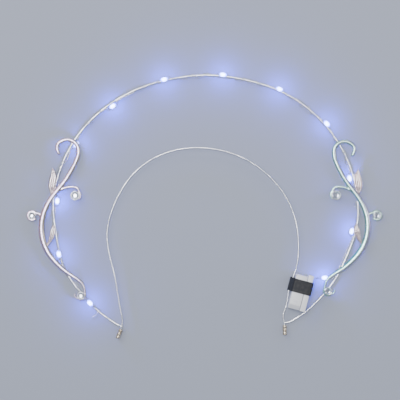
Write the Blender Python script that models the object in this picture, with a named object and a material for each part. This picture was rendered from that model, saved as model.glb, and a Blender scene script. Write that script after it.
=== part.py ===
"""A light-up halo headband, lying flat with the side that faces the viewer up.

A wide halo wire and a smaller hair band wire share two crimped end sleeves. A cast scroll with two
leaves and three stones lies on each side of the halo wire. A string of twelve small lights is wound
round the halo wire and ends in a battery case, which black tape holds to the hair band.
Lengths are in metres, X is the width, Y runs from the feet to the top of the halo and Z is up.
"""

from math import ceil, cos, pi, radians, sin

import bmesh
import bpy
import numpy as np
from mathutils import Matrix, Vector

MM = 0.001

# Halo wire, measured between wire centres and from the mouths of the end sleeves
HALO_WIDTH = 206.2 * MM
HALO_HEIGHT = 171.3 * MM
HALO_WIRE = 1.5 * MM

# Hair band wire, measured in the same way
BAND_WIDTH = 130.2 * MM
BAND_HEIGHT = 121.9 * MM
BAND_WIRE = 1.0 * MM

# End sleeves, each crimped round one end of both wires
FOOT_SPACING = 111.2 * MM
SLEEVE_LENGTH = 6.4 * MM
SLEEVE_WALL = 0.3 * MM
SLEEVE_RUNOUT = 0.8 * MM

# String of lights
LIGHT_WIRE = 0.4 * MM
BEAD_DIAMETER = 3.2 * MM
BEAD_LENGTH = 5.2 * MM
WIRE_RISE = 1.6 * MM
WIRE_TAIL = 4.5 * MM
LEAD_LIGHT = 6.4 * MM
LEAD_DEPTH = 1.4 * MM
LEAD_FROM_TOP = 1.8 * MM
LEAD_HEIGHT = 1.5 * MM
LEAD_STRAIGHT = 0.8 * MM

# Scroll, cast half round with a flat back
SCROLL_LENGTH = 105.0 * MM
STEM_WIDTH = 3.9 * MM
STEM_HEIGHT = 2.1 * MM
CURL_WIDTH = 1.7 * MM
CURL_HEIGHT = 1.1 * MM
LEAF_WIDTH = 4.9 * MM
LEAF_HEIGHT = 1.5 * MM
LEAF_EDGE = 0.7 * MM
CURL_LIFT = 0.10 * MM
LEAF_LIFT = 0.20 * MM
CUP_LIFT = 0.15 * MM

# Stones, each in a cup; the skin is what a curl that hugs the cup leaves of the wall
UPPER_STONE = 4.6 * MM
OUTER_STONE = 3.3 * MM
LOWER_STONE = 3.6 * MM
CUP_WALL = 0.45 * MM
CUP_SKIN = 0.10 * MM
CUP_FLOOR = 0.9 * MM

# Battery case
CASE_LENGTH = 23.6 * MM
CASE_WIDTH = 8.0 * MM
CASE_DEPTH = 12.0 * MM
CHAMFER_LENGTH = 3.0 * MM
CHAMFER_DROP = 3.0 * MM
LID_LENGTH = 24.9 * MM
LID_THICKNESS = 3.6 * MM
CASE_ROUNDING = 0.5 * MM
TAPE_WIDTH = 8.9 * MM
TAPE_FROM_TOP = 3.3 * MM
TAPE_THICKNESS = 0.5 * MM

# Clearance between neighbouring pieces
GAP = 0.3 * MM

# Heights above the surface that it lies on
WOUND = HALO_WIRE / 2 + GAP + LIGHT_WIRE / 2
HALO_Z = max(BEAD_DIAMETER / 2, WOUND + LIGHT_WIRE / 2)
BAND_Z = HALO_Z + HALO_WIRE / 2 + GAP + BAND_WIRE / 2
SCROLL_Z = HALO_Z + max(BEAD_DIAMETER / 2, WOUND + LIGHT_WIRE / 2) + GAP
CASE_Z = TAPE_THICKNESS + GAP

# Halo wire from the left foot to the right one
# across as a share of HALO_WIDTH, up as a share of HALO_HEIGHT
HALO_ROWS = (
    (-0.281, 0.011),
    (-0.294, 0.020),
    (-0.352, 0.073),
    (-0.414, 0.154),
    (-0.464, 0.257),
    (-0.483, 0.363),
    (-0.493, 0.477),
    (-0.467, 0.636),
    (-0.420, 0.747),
    (-0.311, 0.881),
    (-0.206, 0.950),
    (-0.105, 0.985),
    (-0.009, 1.000),
    (0.159, 0.977),
    (0.286, 0.919),
    (0.395, 0.815),
    (0.466, 0.692),
    (0.508, 0.530),
    (0.505, 0.383),
    (0.482, 0.304),
    (0.430, 0.179),
    (0.371, 0.096),
    (0.319, 0.044),
    (0.302, 0.032),
    (0.284, 0.021),
)

# Hair band wire from the left foot to the right one
# across as a share of BAND_WIDTH, up as a share of BAND_HEIGHT
BAND_ROWS = (
    (-0.429, 0.098),
    (-0.459, 0.283),
    (-0.499, 0.510),
    (-0.451, 0.710),
    (-0.353, 0.865),
    (-0.193, 0.972),
    (-0.014, 1.001),
    (0.186, 0.956),
    (0.372, 0.815),
    (0.465, 0.660),
    (0.500, 0.461),
    (0.486, 0.325),
    (0.448, 0.202),
    (0.434, 0.117),
    (0.420, 0.051),
)

# Mouths of the end sleeves
# side, across as a share of FOOT_SPACING, up as a share of HALO_HEIGHT, lean in degrees
FEET = (
    ("left", -0.500, -0.008, 21.0),
    ("right", 0.500, 0.008, -1.5),
)

# Lights, from the left end of the string
# measured from, distance as a share of the scroll's length or of the arch between the scrolls,
# angle round the wire in degrees (0 outward, 90 up, 180 inward), turns of the string to the next
# light, and the shares of that stretch where those turns start and end
LIGHTS = (
    ("left", -0.766, 95, 1, 0.20, 0.80),
    ("left", -0.387, 85, 1, 0.15, 0.85),
    ("left", -0.040, 180, 1, 0.25, 0.75),
    ("left", 0.362, 180, 2, 0.10, 0.90),
    ("arch", 0.262, 150, 9, 0.43, 0.75),
    ("arch", 0.401, 80, 2, 0.15, 0.90),
    ("arch", 0.540, 75, 3, 0.10, 0.90),
    ("arch", 0.678, 73, 3, 0.05, 0.95),
    ("arch", 0.816, 65, 1, 0.10, 0.80),
    ("right", -0.115, 180, 2, 0.10, 0.90),
    ("right", 0.244, 180, 1, 0.20, 0.90),
)
STRING_START = ("left", -0.837, 0, 1, 0.10, 0.90)
STRING_END = ("right", 0.569, 180, 0, 0.0, 0.0)

# Scrolls on the halo wire
# side, mirror, share of the halo wire at the seat, shift outward as a share of SCROLL_LENGTH,
# turn of the foot outward in degrees, stretch
SCROLLS = (
    ("left", -1, 0.2151, 0.000, 1.8, 1.040),
    ("right", 1, 0.7862, -0.004, 0.0, 1.000),
)
SEAT_LEAN = 7.5

# Main stem of a scroll, from the tip of its hook to the lower stone
# outward and up from the seat as shares of SCROLL_LENGTH, width as a share of STEM_WIDTH
STEM_ROWS = (
    (-0.0324, 0.2487, 0.40),
    (-0.0180, 0.2690, 0.58),
    (-0.0168, 0.3141, 0.64),
    (-0.0473, 0.3387, 0.66),
    (-0.0745, 0.3452, 0.66),
    (-0.1095, 0.3368, 0.68),
    (-0.1380, 0.3077, 0.70),
    (-0.1451, 0.2623, 0.71),
    (-0.1321, 0.2131, 0.73),
    (-0.1010, 0.1470, 0.75),
    (-0.0641, 0.0848, 0.77),
    (0.0039, -0.0058, 0.84),
    (0.0557, -0.1049, 0.90),
    (0.0712, -0.1878, 0.98),
    (0.0550, -0.2986, 1.00),
    (0.0220, -0.3646, 1.00),
    (-0.0272, -0.4223, 0.93),
    (-0.0848, -0.4722, 0.80),
    (-0.1509, -0.5136, 0.62),
    (-0.1969, -0.5544, 0.46),
)
STEM_TIP = 0.34
TURN_TAPER = 0.80

# Turns round the lower and the outer stone, from and to in degrees from outward towards up
LOWER_TURN = (165.0, 300.0)
OUTER_TURN = (140.0, -150.0)

# Free hook that the stem ends in, past the lower stone
# angle round the stone in degrees from outward towards up, distance in radii of the turn before it
HOOK_ROWS = (
    (335.0, 1.22),
    (362.0, 1.48),
    (378.0, 1.60),
)

# Curls of a scroll, each from the stem towards its stone
# outward and up from the seat as shares of SCROLL_LENGTH
UPPER_CURL = (
    (0.0030, -0.0080),
    (-0.0200, 0.0190),
    (-0.0530, 0.0390),
    (-0.0890, 0.0500),
    (-0.1220, 0.0520),
    (-0.1470, 0.0430),
    (-0.1570, 0.0240),
)
OUTER_CURL = (
    (0.0700, -0.1660),
    (0.0755, -0.1440),
    (0.0874, -0.1211),
)

# Taper of the curls from the stem to the stone, as shares of CURL_WIDTH and CURL_HEIGHT
UPPER_TAPER = (1.25, 0.90)
OUTER_TAPER = (1.10, 0.80)

# Height of the stem and of a leaf where they run out to nothing, as shares of their full height
STEM_THIN = 0.35
LEAF_THIN = 0.60

# Stone centres on a scroll, outward and up from the seat as shares of SCROLL_LENGTH
UPPER_CENTRE = (-0.1341, -0.0019)
OUTER_CENTRE = (0.1308, -0.1341)
LOWER_CENTRE = (-0.1878, -0.6218)

# Leaves of a scroll, from the stalk to the tip
# outward and up from the seat as shares of SCROLL_LENGTH, width as a share of LEAF_WIDTH
UPPER_LEAF = (
    (0.0100, 0.0000, 0.30),
    (0.0120, 0.0230, 0.55),
    (0.0135, 0.0520, 0.95),
    (0.0100, 0.0850, 1.00),
    (0.0060, 0.1200, 0.80),
    (0.0080, 0.1450, 0.45),
    (0.0117, 0.1684, 0.10),
)
LOWER_LEAF = (
    (0.0380, -0.3280, 0.26),
    (0.0230, -0.3000, 0.36),
    (0.0080, -0.2700, 0.66),
    (0.0000, -0.2370, 0.85),
    (-0.0040, -0.2120, 0.62),
    (0.0000, -0.1872, 0.10),
)

# Section of a leaf, from its edge to its ridge
# across as a share of half its width, height as a share of the rise from the edge to the ridge
LEAF_SECTION = (
    (1.00, 0.00),
    (0.25, 0.25),
    (0.00, 1.00),
)

# Cut of a stone: its flat back, the girdle's lower and upper edge and its table
# radius and height as shares of the diameter, turn in steps from corner to corner
GIRDLE_TOP = 0.28
STONE_ROWS = (
    (0.30, 0.00, 0.5),
    (0.50, 0.20, 0.0),
    (0.50, GIRDLE_TOP, 0.0),
    (0.29, 0.46, 0.5),
)

# Profile of a light's drop
# along as a share of half its length, radius as a share of its largest
BEAD_ROWS = (
    (-1.00, 0.48),
    (-0.82, 0.80),
    (-0.42, 0.99),
    (0.42, 0.99),
    (0.82, 0.80),
    (1.00, 0.48),
)

# Sides and samples of the round pieces: turns and steps in degrees, and the longest straight of a wire
WIRE_TURN = 6.5
WIRE_REACH = 12.8 * MM
HEADING_REACH = 1.0 * MM
WIND_STEP = 45.0
ARC_STEP = 30.0
SHARP_ANGLE = 35.0
SPLINE_SAMPLES = 3000
STEM_SAMPLES = 44
UPPER_CURL_SAMPLES = 14
OUTER_CURL_SAMPLES = 20
HALF_ROUND_SIDES = 5
STONE_SIDES = 12
CUP_SIDES = 12
BEAD_SIDES = 10
HOLE_SIDES = 10
SLEEVE_SIDES = 6

# Colours and finishes: base colour, metallic, roughness, glow
FINISHES = {
    "plated_wire": ((0.78, 0.79, 0.82), 1.0, 0.28, 0.0),
    "sleeve_metal": ((0.80, 0.72, 0.62), 1.0, 0.35, 0.0),
    "mint_silver": ((0.66, 0.82, 0.84), 1.0, 0.22, 0.0),
    "lilac_silver": ((0.86, 0.80, 0.88), 1.0, 0.22, 0.0),
    "clear_stone": ((0.92, 0.94, 0.98), 0.0, 0.05, 0.0),
    "clear_drop": ((0.75, 0.82, 1.00), 0.0, 0.20, 6.0),
    "white_plastic": ((0.90, 0.91, 0.93), 0.0, 0.35, 0.0),
    "black_tape": ((0.02, 0.02, 0.025), 0.0, 0.60, 0.0),
}


def clear_scene():
    for item in list(bpy.data.objects):
        bpy.data.objects.remove(item, do_unlink=True)


def finish_material(name):
    """Return the named material, made on its first use."""
    known = bpy.data.materials.get(name)
    if known:
        return known
    colour, metallic, roughness, glow = FINISHES[name]
    material = bpy.data.materials.new(name)
    material.use_nodes = True
    shader = material.node_tree.nodes["Principled BSDF"]
    shader.inputs["Base Color"].default_value = (*colour, 1.0)
    shader.inputs["Metallic"].default_value = metallic
    shader.inputs["Roughness"].default_value = roughness
    shader.inputs["Emission Color"].default_value = (*colour, 1.0)
    shader.inputs["Emission Strength"].default_value = glow
    return material


def new_object(name, mesh, finish):
    mesh.materials.append(finish_material(finish))
    made = bpy.data.objects.new(name, mesh)
    bpy.context.scene.collection.objects.link(made)
    return made


def unit(vector):
    return vector / np.linalg.norm(vector)


def lengths_along(path):
    """Return the distance from the start of a polyline to each of its points."""
    steps = np.linalg.norm(np.diff(path, axis=0), axis=1)
    return np.concatenate(([0.0], np.cumsum(steps)))


def smooth_curve(points, start=None, end=None, samples=SPLINE_SAMPLES):
    """Return a fine polyline on the cubic spline through the points, with given end directions."""
    points = np.asarray(points, float)
    at = lengths_along(points)
    step = np.diff(at)
    last = len(points) - 1
    system = np.zeros((last + 1, last + 1))
    wanted = np.zeros_like(points)
    for i in range(1, last):
        before, after = step[i - 1], step[i]
        system[i, i - 1 : i + 2] = after, 2 * (before + after), before
        wanted[i] = 3 * after * (points[i] - points[i - 1]) / before
        wanted[i] += 3 * before * (points[i + 1] - points[i]) / after
    for row, inner, direction in ((0, 1, start), (last, last - 1, end)):
        if direction is None:
            system[row, row], system[row, inner] = 2, 1
            wanted[row] = 3 * (points[max(row, inner)] - points[min(row, inner)]) / step[min(row, inner)]
        else:
            system[row, row] = 1
            wanted[row] = unit(np.asarray(direction, float))
    slopes = np.linalg.solve(system, wanted)
    where = np.linspace(0, at[-1], samples)
    span = np.clip(np.searchsorted(at, where, side="right") - 1, 0, last - 1)
    t = ((where - at[span]) / step[span])[:, None]
    size = step[span][:, None]
    return (
        (1 + 2 * t) * (1 - t) ** 2 * points[span]
        + t * (1 - t) ** 2 * size * slopes[span]
        + t**2 * (3 - 2 * t) * points[span + 1]
        + t**2 * (t - 1) * size * slopes[span + 1]
    )


def point_at(path, distance):
    """Return the point of a polyline at a distance along it."""
    at = lengths_along(path)
    return np.array([np.interp(distance, at, path[:, axis]) for axis in range(path.shape[1])])


def heading_at(path, distance, reach=HEADING_REACH):
    """Return the direction of a polyline at a distance along it."""
    return unit(point_at(path, distance + reach) - point_at(path, distance - reach))


def bend_points(path, turn=WIRE_TURN, reach=WIRE_REACH):
    """Return points along a polyline, closer together where it bends."""
    headings = np.diff(path, axis=0)
    headings /= np.linalg.norm(headings, axis=1)[:, None]
    at = lengths_along(path)
    kept = [0]
    for i in range(1, len(path) - 1):
        bent = np.dot(headings[kept[-1]], headings[i]) < cos(radians(turn))
        if bent or at[i] - at[kept[-1]] > reach:
            kept.append(i)
    kept.append(len(path) - 1)
    return path[kept]


def even_points(path, count):
    """Return so many points, evenly spaced along a polyline."""
    total = lengths_along(path)[-1]
    return np.array([point_at(path, share * total) for share in np.linspace(0, 1, count)])


def raised(path, height):
    """Lift a flat polyline to a height."""
    return np.column_stack((path, np.full(len(path), height)))


def foot(side):
    """Return the middle of a sleeve's mouth and the direction from the sleeve into the wires."""
    _, across, up, lean = next(row for row in FEET if row[0] == side)
    mouth = np.array((across * FOOT_SPACING, up * HALO_HEIGHT))
    return mouth, np.array((sin(radians(lean)), cos(radians(lean))))


def bent_wire(rows, width, height):
    """Return the flat path of a wire between the two sleeves, without its ends in them."""
    left, left_up = foot("left")
    right, right_up = foot("right")
    points = [np.array((x * width, y * height)) for x, y in rows]
    points.insert(0, left + left_up * SLEEVE_RUNOUT)
    points.append(right + right_up * SLEEVE_RUNOUT)
    return smooth_curve(points, left_up, -right_up)


def wire_curve(name, points, diameter, sides_level, finish):
    """Make a round wire as a bevelled curve with closed ends."""
    curve = bpy.data.curves.new(name, "CURVE")
    curve.dimensions = "3D"
    curve.bevel_depth = diameter / 2
    curve.bevel_resolution = sides_level
    curve.use_fill_caps = True
    line = curve.splines.new("POLY")
    line.points.add(len(points) - 1)
    for spot, point in zip(line.points, points):
        spot.co = (*point, 1.0)
    curve.materials.append(finish_material(finish))
    made = bpy.data.objects.new(name, curve)
    bpy.context.scene.collection.objects.link(made)
    return made


def skin(name, rings, finish, ring_shaped=False):
    """Join equal rings of points into a closed body, capped at both ends or closed on itself."""
    shape = bmesh.new()
    loops = [[shape.verts.new(point) for point in ring] for ring in rings]
    pairs = list(zip(loops, loops[1:]))
    if ring_shaped:
        pairs.append((loops[-1], loops[0]))
    else:
        shape.faces.new(loops[0])
        shape.faces.new(loops[-1])
    for lower, upper in pairs:
        for i in range(len(lower)):
            j = (i + 1) % len(lower)
            shape.faces.new((lower[i], lower[j], upper[j], upper[i]))
    bmesh.ops.triangulate(shape, faces=shape.faces[:])
    bmesh.ops.recalc_face_normals(shape, faces=shape.faces[:])
    mesh = bpy.data.meshes.new(name)
    shape.to_mesh(mesh)
    shape.free()
    mesh.shade_smooth()
    mesh.set_sharp_from_angle(angle=radians(SHARP_ANGLE))
    return new_object(name, mesh, finish)


def placed_outline(centre, heading, outline):
    """Place (side, up) pairs in the upright plane across a level heading."""
    side = np.array((-heading[1], heading[0], 0.0))
    up = np.array((0.0, 0.0, 1.0))
    return [centre + side * across + up * height for across, height in outline]


def half_round(width, height):
    """Return the outline of a half-round bar with a flat back."""
    angles = [pi * k / HALF_ROUND_SIDES for k in range(1, HALF_ROUND_SIDES)]
    arc = [(cos(angle) * width / 2, sin(angle) * height) for angle in angles]
    return [(-width / 2, 0.0), (width / 2, 0.0)] + arc


def leaf_section(width, height):
    """Return the outline of a leaf with a thin edge and a ridge along its middle."""
    edge = LEAF_EDGE * height / LEAF_HEIGHT
    half = [(across * width / 2, edge + rise * (height - edge)) for across, rise in LEAF_SECTION]
    other = [(-across, up) for across, up in reversed(half[:-1])]
    return [(-width / 2, 0.0), (width / 2, 0.0)] + half + other


def bar_along(name, path, outlines, finish):
    """Sweep one outline for each point of a level path."""
    headings = np.gradient(path[:, :2], axis=0)
    rings = []
    for centre, heading, outline in zip(path, headings, outlines):
        rings.append(placed_outline(centre, unit(heading), outline))
    return skin(name, rings, finish)


def fuse(body, others):
    """Unite closed bodies with the first one and keep a single object."""
    for other in others:
        union = body.modifiers.new(other.name, "BOOLEAN")
        union.operation = "UNION"
        union.solver = "EXACT"
        union.object = other
    keep_result(body, others)
    return body


def cut(body, tools):
    """Cut closed bodies out of the first one."""
    for tool in tools:
        difference = body.modifiers.new(tool.name, "BOOLEAN")
        difference.operation = "DIFFERENCE"
        difference.solver = "EXACT"
        difference.object = tool
    keep_result(body, tools)
    return body


def keep_result(body, helpers):
    """Apply the modifiers of a body and remove the helpers that they used."""
    graph = bpy.context.evaluated_depsgraph_get()
    graph.update()
    mesh = bpy.data.meshes.new_from_object(body.evaluated_get(graph), depsgraph=graph)
    body.modifiers.clear()
    body.data = mesh
    for helper in helpers:
        bpy.data.objects.remove(helper, do_unlink=True)


def circle(centre, radius, height, sides, turn=0.0):
    """Return a level ring of points."""
    angles = [turn + 2 * pi * k / sides for k in range(sides)]
    return [np.array((centre[0] + radius * cos(a), centre[1] + radius * sin(a), height)) for a in angles]


def cup_radius(stone):
    return stone / 2 + GAP + CUP_WALL


def cup_height(stone):
    return CUP_FLOOR + GAP + GIRDLE_TOP * stone


def stone_cup(name, centre, stone, finish):
    """Make the open cup that a stone sits in."""
    outer = cup_radius(stone)
    inner = outer - CUP_WALL
    low = SCROLL_Z + CUP_LIFT
    top = SCROLL_Z + cup_height(stone)
    rings = (
        circle(centre, outer, low, CUP_SIDES),
        circle(centre, outer, top - CUP_WALL / 2, CUP_SIDES),
        circle(centre, outer - CUP_WALL / 3, top, CUP_SIDES),
        circle(centre, inner, top, CUP_SIDES),
        circle(centre, inner, SCROLL_Z + CUP_FLOOR, CUP_SIDES),
    )
    return skin(name, rings, finish)


def cut_stone(name, centre, stone):
    """Make a round stone with a table, a faceted crown, a girdle and a flat foiled back."""
    base = SCROLL_Z + CUP_FLOOR + GAP
    step = 2 * pi / STONE_SIDES
    rings = [
        circle(centre, radius * stone, base + up * stone, STONE_SIDES, turn * step)
        for radius, up, turn in STONE_ROWS
    ]
    made = skin(name, rings, "clear_stone")
    made.data.shade_flat()
    return made


def seat_on_halo(row, halo):
    """Return where a scroll sits along the halo wire and a function that places its points."""
    _, mirror, along, shift, turn, stretch = row
    distance = along * lengths_along(halo)[-1]
    climb = heading_at(halo, distance) * -mirror
    angle = radians(mirror * (turn - SEAT_LEAN))
    up = np.array((
        climb[0] * cos(angle) - climb[1] * sin(angle),
        climb[0] * sin(angle) + climb[1] * cos(angle),
    ))
    outward = np.array((up[1], -up[0])) * mirror
    seat = point_at(halo, distance) + outward * shift * SCROLL_LENGTH

    def place(x, y):
        return seat + (outward * x + up * y) * SCROLL_LENGTH * stretch

    return distance, mirror, place


def arc_round(centre, radius, turn, mirror):
    """Return points round a stone, angles in degrees from outward towards up."""
    start, end = turn
    count = max(1, ceil(abs(end - start) / ARC_STEP))
    angles = [radians(start + (end - start) * k / count) for k in range(count + 1)]
    return [centre + radius * np.array((mirror * cos(a), sin(a))) for a in angles]


def hugging_radius(stone, width):
    """Return the radius of a bar's middle where the bar hugs a cup and leaves a skin of its wall."""
    return cup_radius(stone) - CUP_WALL + CUP_SKIN + width / 2


def tapered(full, least, share):
    """Return a height between its least share and its full size."""
    return full * (least + (1 - least) * share)


def make_stem(side, mirror, place, finish):
    """Make the main stem, which turns in round the lower stone and ends in a free hook."""
    centre = place(*LOWER_CENTRE)
    ring = hugging_radius(LOWER_STONE, STEM_TIP * STEM_WIDTH)
    turn_in = arc_round(centre, ring, LOWER_TURN, mirror)
    for angle, spread in HOOK_ROWS:
        turn_in.append(arc_round(centre, ring * spread, (angle, angle), mirror)[0])
    shares = [share for _, _, share in STEM_ROWS]
    shares += list(np.linspace(STEM_TIP, STEM_TIP * TURN_TAPER, len(turn_in)))
    points = [place(x, y) for x, y, _ in STEM_ROWS] + turn_in
    knots = lengths_along(np.array(points))
    path = even_points(smooth_curve(points), STEM_SAMPLES)
    widths = np.interp(np.linspace(0, knots[-1], STEM_SAMPLES), knots, shares)
    outlines = [half_round(w * STEM_WIDTH, tapered(STEM_HEIGHT, STEM_THIN, w)) for w in widths]
    return bar_along("scroll_" + side, raised(path, SCROLL_Z), outlines, finish)


def make_curl(name, route, taper, samples, finish):
    """Make a curl along a route, tapered from its first to its last share."""
    path = raised(even_points(smooth_curve(route), samples), SCROLL_Z + CURL_LIFT)
    shares = np.linspace(*taper, samples)
    outlines = [half_round(CURL_WIDTH * share, CURL_HEIGHT * share) for share in shares]
    return bar_along(name, path, outlines, finish)


def make_leaf(name, rows, place, finish):
    """Make a leaf with a ridge along its spine."""
    spine = raised(np.array([place(x, y) for x, y, _ in rows]), SCROLL_Z + LEAF_LIFT)
    outlines = [leaf_section(w * LEAF_WIDTH, tapered(LEAF_HEIGHT, LEAF_THIN, w)) for _, _, w in rows]
    return bar_along(name, spine, outlines, finish)


def make_scroll(side, mirror, place, finish):
    """Make one scroll, its curls, cups and leaves as one casting, and its three stones."""
    upper, outer, lower = place(*UPPER_CENTRE), place(*OUTER_CENTRE), place(*LOWER_CENTRE)
    to_upper = [place(x, y) for x, y in UPPER_CURL]
    rim = cup_radius(UPPER_STONE) - CUP_WALL / 2
    to_upper.append(upper + unit(to_upper[-1] - upper) * rim)
    to_outer = [place(x, y) for x, y in OUTER_CURL]
    ring = hugging_radius(OUTER_STONE, CURL_WIDTH * sum(OUTER_TAPER) / 2)
    to_outer += arc_round(outer, ring, OUTER_TURN, mirror)
    parts = [
        make_curl("upper_curl", to_upper, UPPER_TAPER, UPPER_CURL_SAMPLES, finish),
        make_curl("outer_curl", to_outer, OUTER_TAPER, OUTER_CURL_SAMPLES, finish),
        make_leaf("upper_leaf", UPPER_LEAF, place, finish),
        make_leaf("lower_leaf", LOWER_LEAF, place, finish),
    ]
    stones = (("upper", upper, UPPER_STONE), ("outer", outer, OUTER_STONE), ("lower", lower, LOWER_STONE))
    for where, centre, size in stones:
        parts.append(stone_cup("cup_" + where, centre, size, finish))
        cut_stone(f"stone_{side}_{where}", centre, size)
    fuse(make_stem(side, mirror, place, finish), parts)


def wound_point(halo, distance, angle, radius):
    """Return a point beside the halo wire, at an angle of 0 outward and 90 up."""
    heading = heading_at(halo, distance)
    outward = np.array((-heading[1], heading[0]))
    flat = point_at(halo, distance) + outward * radius * cos(radians(angle))
    return np.array((*flat, HALO_Z + radius * sin(radians(angle))))


def light_bead(name, ends):
    """Make the clear drop round one light, drilled for the string that runs from end to end."""
    start, end = ends
    axis = Vector(end - start).normalized()
    turn = axis.to_track_quat("Z", "Y").to_matrix().to_4x4()
    frame = Matrix.Translation(Vector((start + end) / 2)) @ turn
    bore = LIGHT_WIRE / 2 + GAP
    profile = [(along * BEAD_LENGTH / 2, share * BEAD_DIAMETER / 2) for along, share in BEAD_ROWS]
    profile = [(-BEAD_LENGTH / 2, bore)] + profile + [(BEAD_LENGTH / 2, bore)]
    rings = [circle((0, 0), radius, along, BEAD_SIDES) for along, radius in profile]
    rings = [[frame @ Vector(point) for point in ring] for ring in rings]
    return skin(name, rings, "clear_drop", ring_shaped=True)


def string_stops(seats):
    """Return the stops of the string along the halo wire: distance, angle, turns, start and end."""
    left, right = seats["left"], seats["right"]
    stops = []
    for start, share, angle, turns, begin, finish in (STRING_START,) + LIGHTS + (STRING_END,):
        origin, reach = {
            "left": (left, SCROLL_LENGTH),
            "arch": (left, right - left),
            "right": (right, SCROLL_LENGTH),
        }[start]
        stops.append((origin + share * reach, angle, turns, begin, finish))
    return stops


def wound_stretch(halo, here, there, start, stop):
    """Return the string's points from one light to the next, wound between their angles."""
    _, angle, turns, begin, finish = here
    swing = there[1] - angle + 360 * turns
    wind_start = start + begin * (stop - start)
    wind_length = (finish - begin) * (stop - start)
    steps = ceil(max(abs(swing) / WIND_STEP, wind_length / WIRE_REACH))
    points = [wound_point(halo, start, angle, WOUND)]
    for k in range(steps + 1):
        share = k / steps
        points.append(wound_point(halo, wind_start + share * wind_length, angle + share * swing, WOUND))
    points.append(wound_point(halo, stop, there[1], WOUND))
    return points


def battery_lead(begin, battery, run):
    """Return the ends of the last light and the points that lead the string into the battery lid."""
    low, up, across, face = battery
    mouth = low + across * face + up * (LID_LENGTH - LEAD_FROM_TOP)
    towards = unit(np.array((*(mouth - begin[:2]), 0.0)))
    ends = [begin + towards * (LEAD_LIGHT + way * run) for way in (-1, 1)]
    reaches = (LEAD_STRAIGHT, -LEAD_DEPTH)
    return ends, [np.array((*(mouth + across * reach), CASE_Z + LEAD_HEIGHT)) for reach in reaches]


def make_lights(halo, seats, battery):
    """Wind the string round the halo wire, lead it to the battery and put the lights on it."""
    beside = HALO_WIRE / 2 + GAP + BEAD_DIAMETER / 2
    run = BEAD_LENGTH / 2 + GAP
    stops = string_stops(seats)
    first, last = stops[0], stops[-1]
    points = [wound_point(halo, first[0], first[1], WOUND + WIRE_TAIL)]
    lights = []
    for here, there in zip(stops, stops[1:]):
        start = here[0] if here is first else here[0] + run + WIRE_RISE
        stop = there[0] if there is last else there[0] - run - WIRE_RISE
        points += wound_stretch(halo, here, there, start, stop)
        if there is not last:
            lights.append([wound_point(halo, there[0] + way * run, there[1], beside) for way in (-1, 1)])
            points += lights[-1]
    ends, lead = battery_lead(points[-1], battery, run)
    lights.append(ends)
    wire_curve("light_wire", without_repeats(points + ends + lead), LIGHT_WIRE, 1, "plated_wire")
    for number, ends in enumerate(lights, start=1):
        light_bead(f"led_{number:02d}", ends)


def without_repeats(points):
    """Drop points that lie on the one before."""
    kept = [points[0]]
    for point in points[1:]:
        if np.linalg.norm(point - kept[-1]) > LIGHT_WIRE / 4:
            kept.append(point)
    return kept


def battery_frame(band, start):
    """Return the lower left corner of the battery beside the hair band, its up and across axes."""
    at = lengths_along(band)
    bottom = point_at(band, start)
    up = unit(point_at(band, start + LID_LENGTH) - bottom)
    across = np.array((up[1], -up[0]))
    nearby = band[(at >= start) & (at <= start + LID_LENGTH)]
    bulge = max(0.0, float(np.max((nearby - bottom) @ across)))
    low = bottom + across * (bulge + BAND_WIRE / 2 + GAP)
    return low, up, across


def seat_battery(band, halo):
    """Slide the battery down the hair band until its lower corner meets the halo wire."""
    climbing = band[::-1]
    width = CASE_WIDTH + GAP + LID_THICKNESS
    needed = HALO_WIRE / 2 + GAP
    start = BAND_HEIGHT / 2
    step = GAP / 2
    while start > step:
        low, up, across = battery_frame(climbing, start - step)
        corner = low + across * width
        if np.min(np.linalg.norm(halo - corner, axis=1)) < needed:
            break
        start -= step
    low, up, across = battery_frame(climbing, start)
    return low, up, across, width


def round_edges(body, width):
    bevel = body.modifiers.new("rounded_edges", "BEVEL")
    bevel.width = width
    bevel.segments = 1
    bevel.limit_method = "ANGLE"


def battery_places(battery):
    """Return a function that turns sideways, along and height at the battery into a point."""
    low, up, across, _ = battery

    def spot(sideways, along, height):
        return np.array((*(low + across * sideways + up * along), height))

    return spot


def make_case(spot):
    """Make the battery case, chamfered at the foot of its upper face."""
    top = CASE_Z + CASE_DEPTH
    outline = (
        (0, CASE_Z),
        (CASE_LENGTH, CASE_Z),
        (CASE_LENGTH, top),
        (CHAMFER_LENGTH, top),
        (0, top - CHAMFER_DROP),
    )
    rings = [[spot(x, along, height) for along, height in outline] for x in (0, CASE_WIDTH)]
    round_edges(skin("battery_case", rings, "white_plastic"), CASE_ROUNDING)


def make_lid(battery, spot):
    """Make the lid beside the case, with the hole that the string's lead goes into."""
    _, up, across, face = battery
    top = CASE_Z + CASE_DEPTH
    outline = ((0, CASE_Z), (LID_LENGTH, CASE_Z), (LID_LENGTH, top), (0, top))
    rings = [[spot(x, along, height) for along, height in outline] for x in (CASE_WIDTH + GAP, face)]
    lid = skin("battery_lid", rings, "white_plastic")
    round_edges(lid, CASE_ROUNDING)
    centre = spot(face, LID_LENGTH - LEAD_FROM_TOP, CASE_Z + LEAD_HEIGHT)
    cut(lid, [lead_drill(centre, across)])


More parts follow.
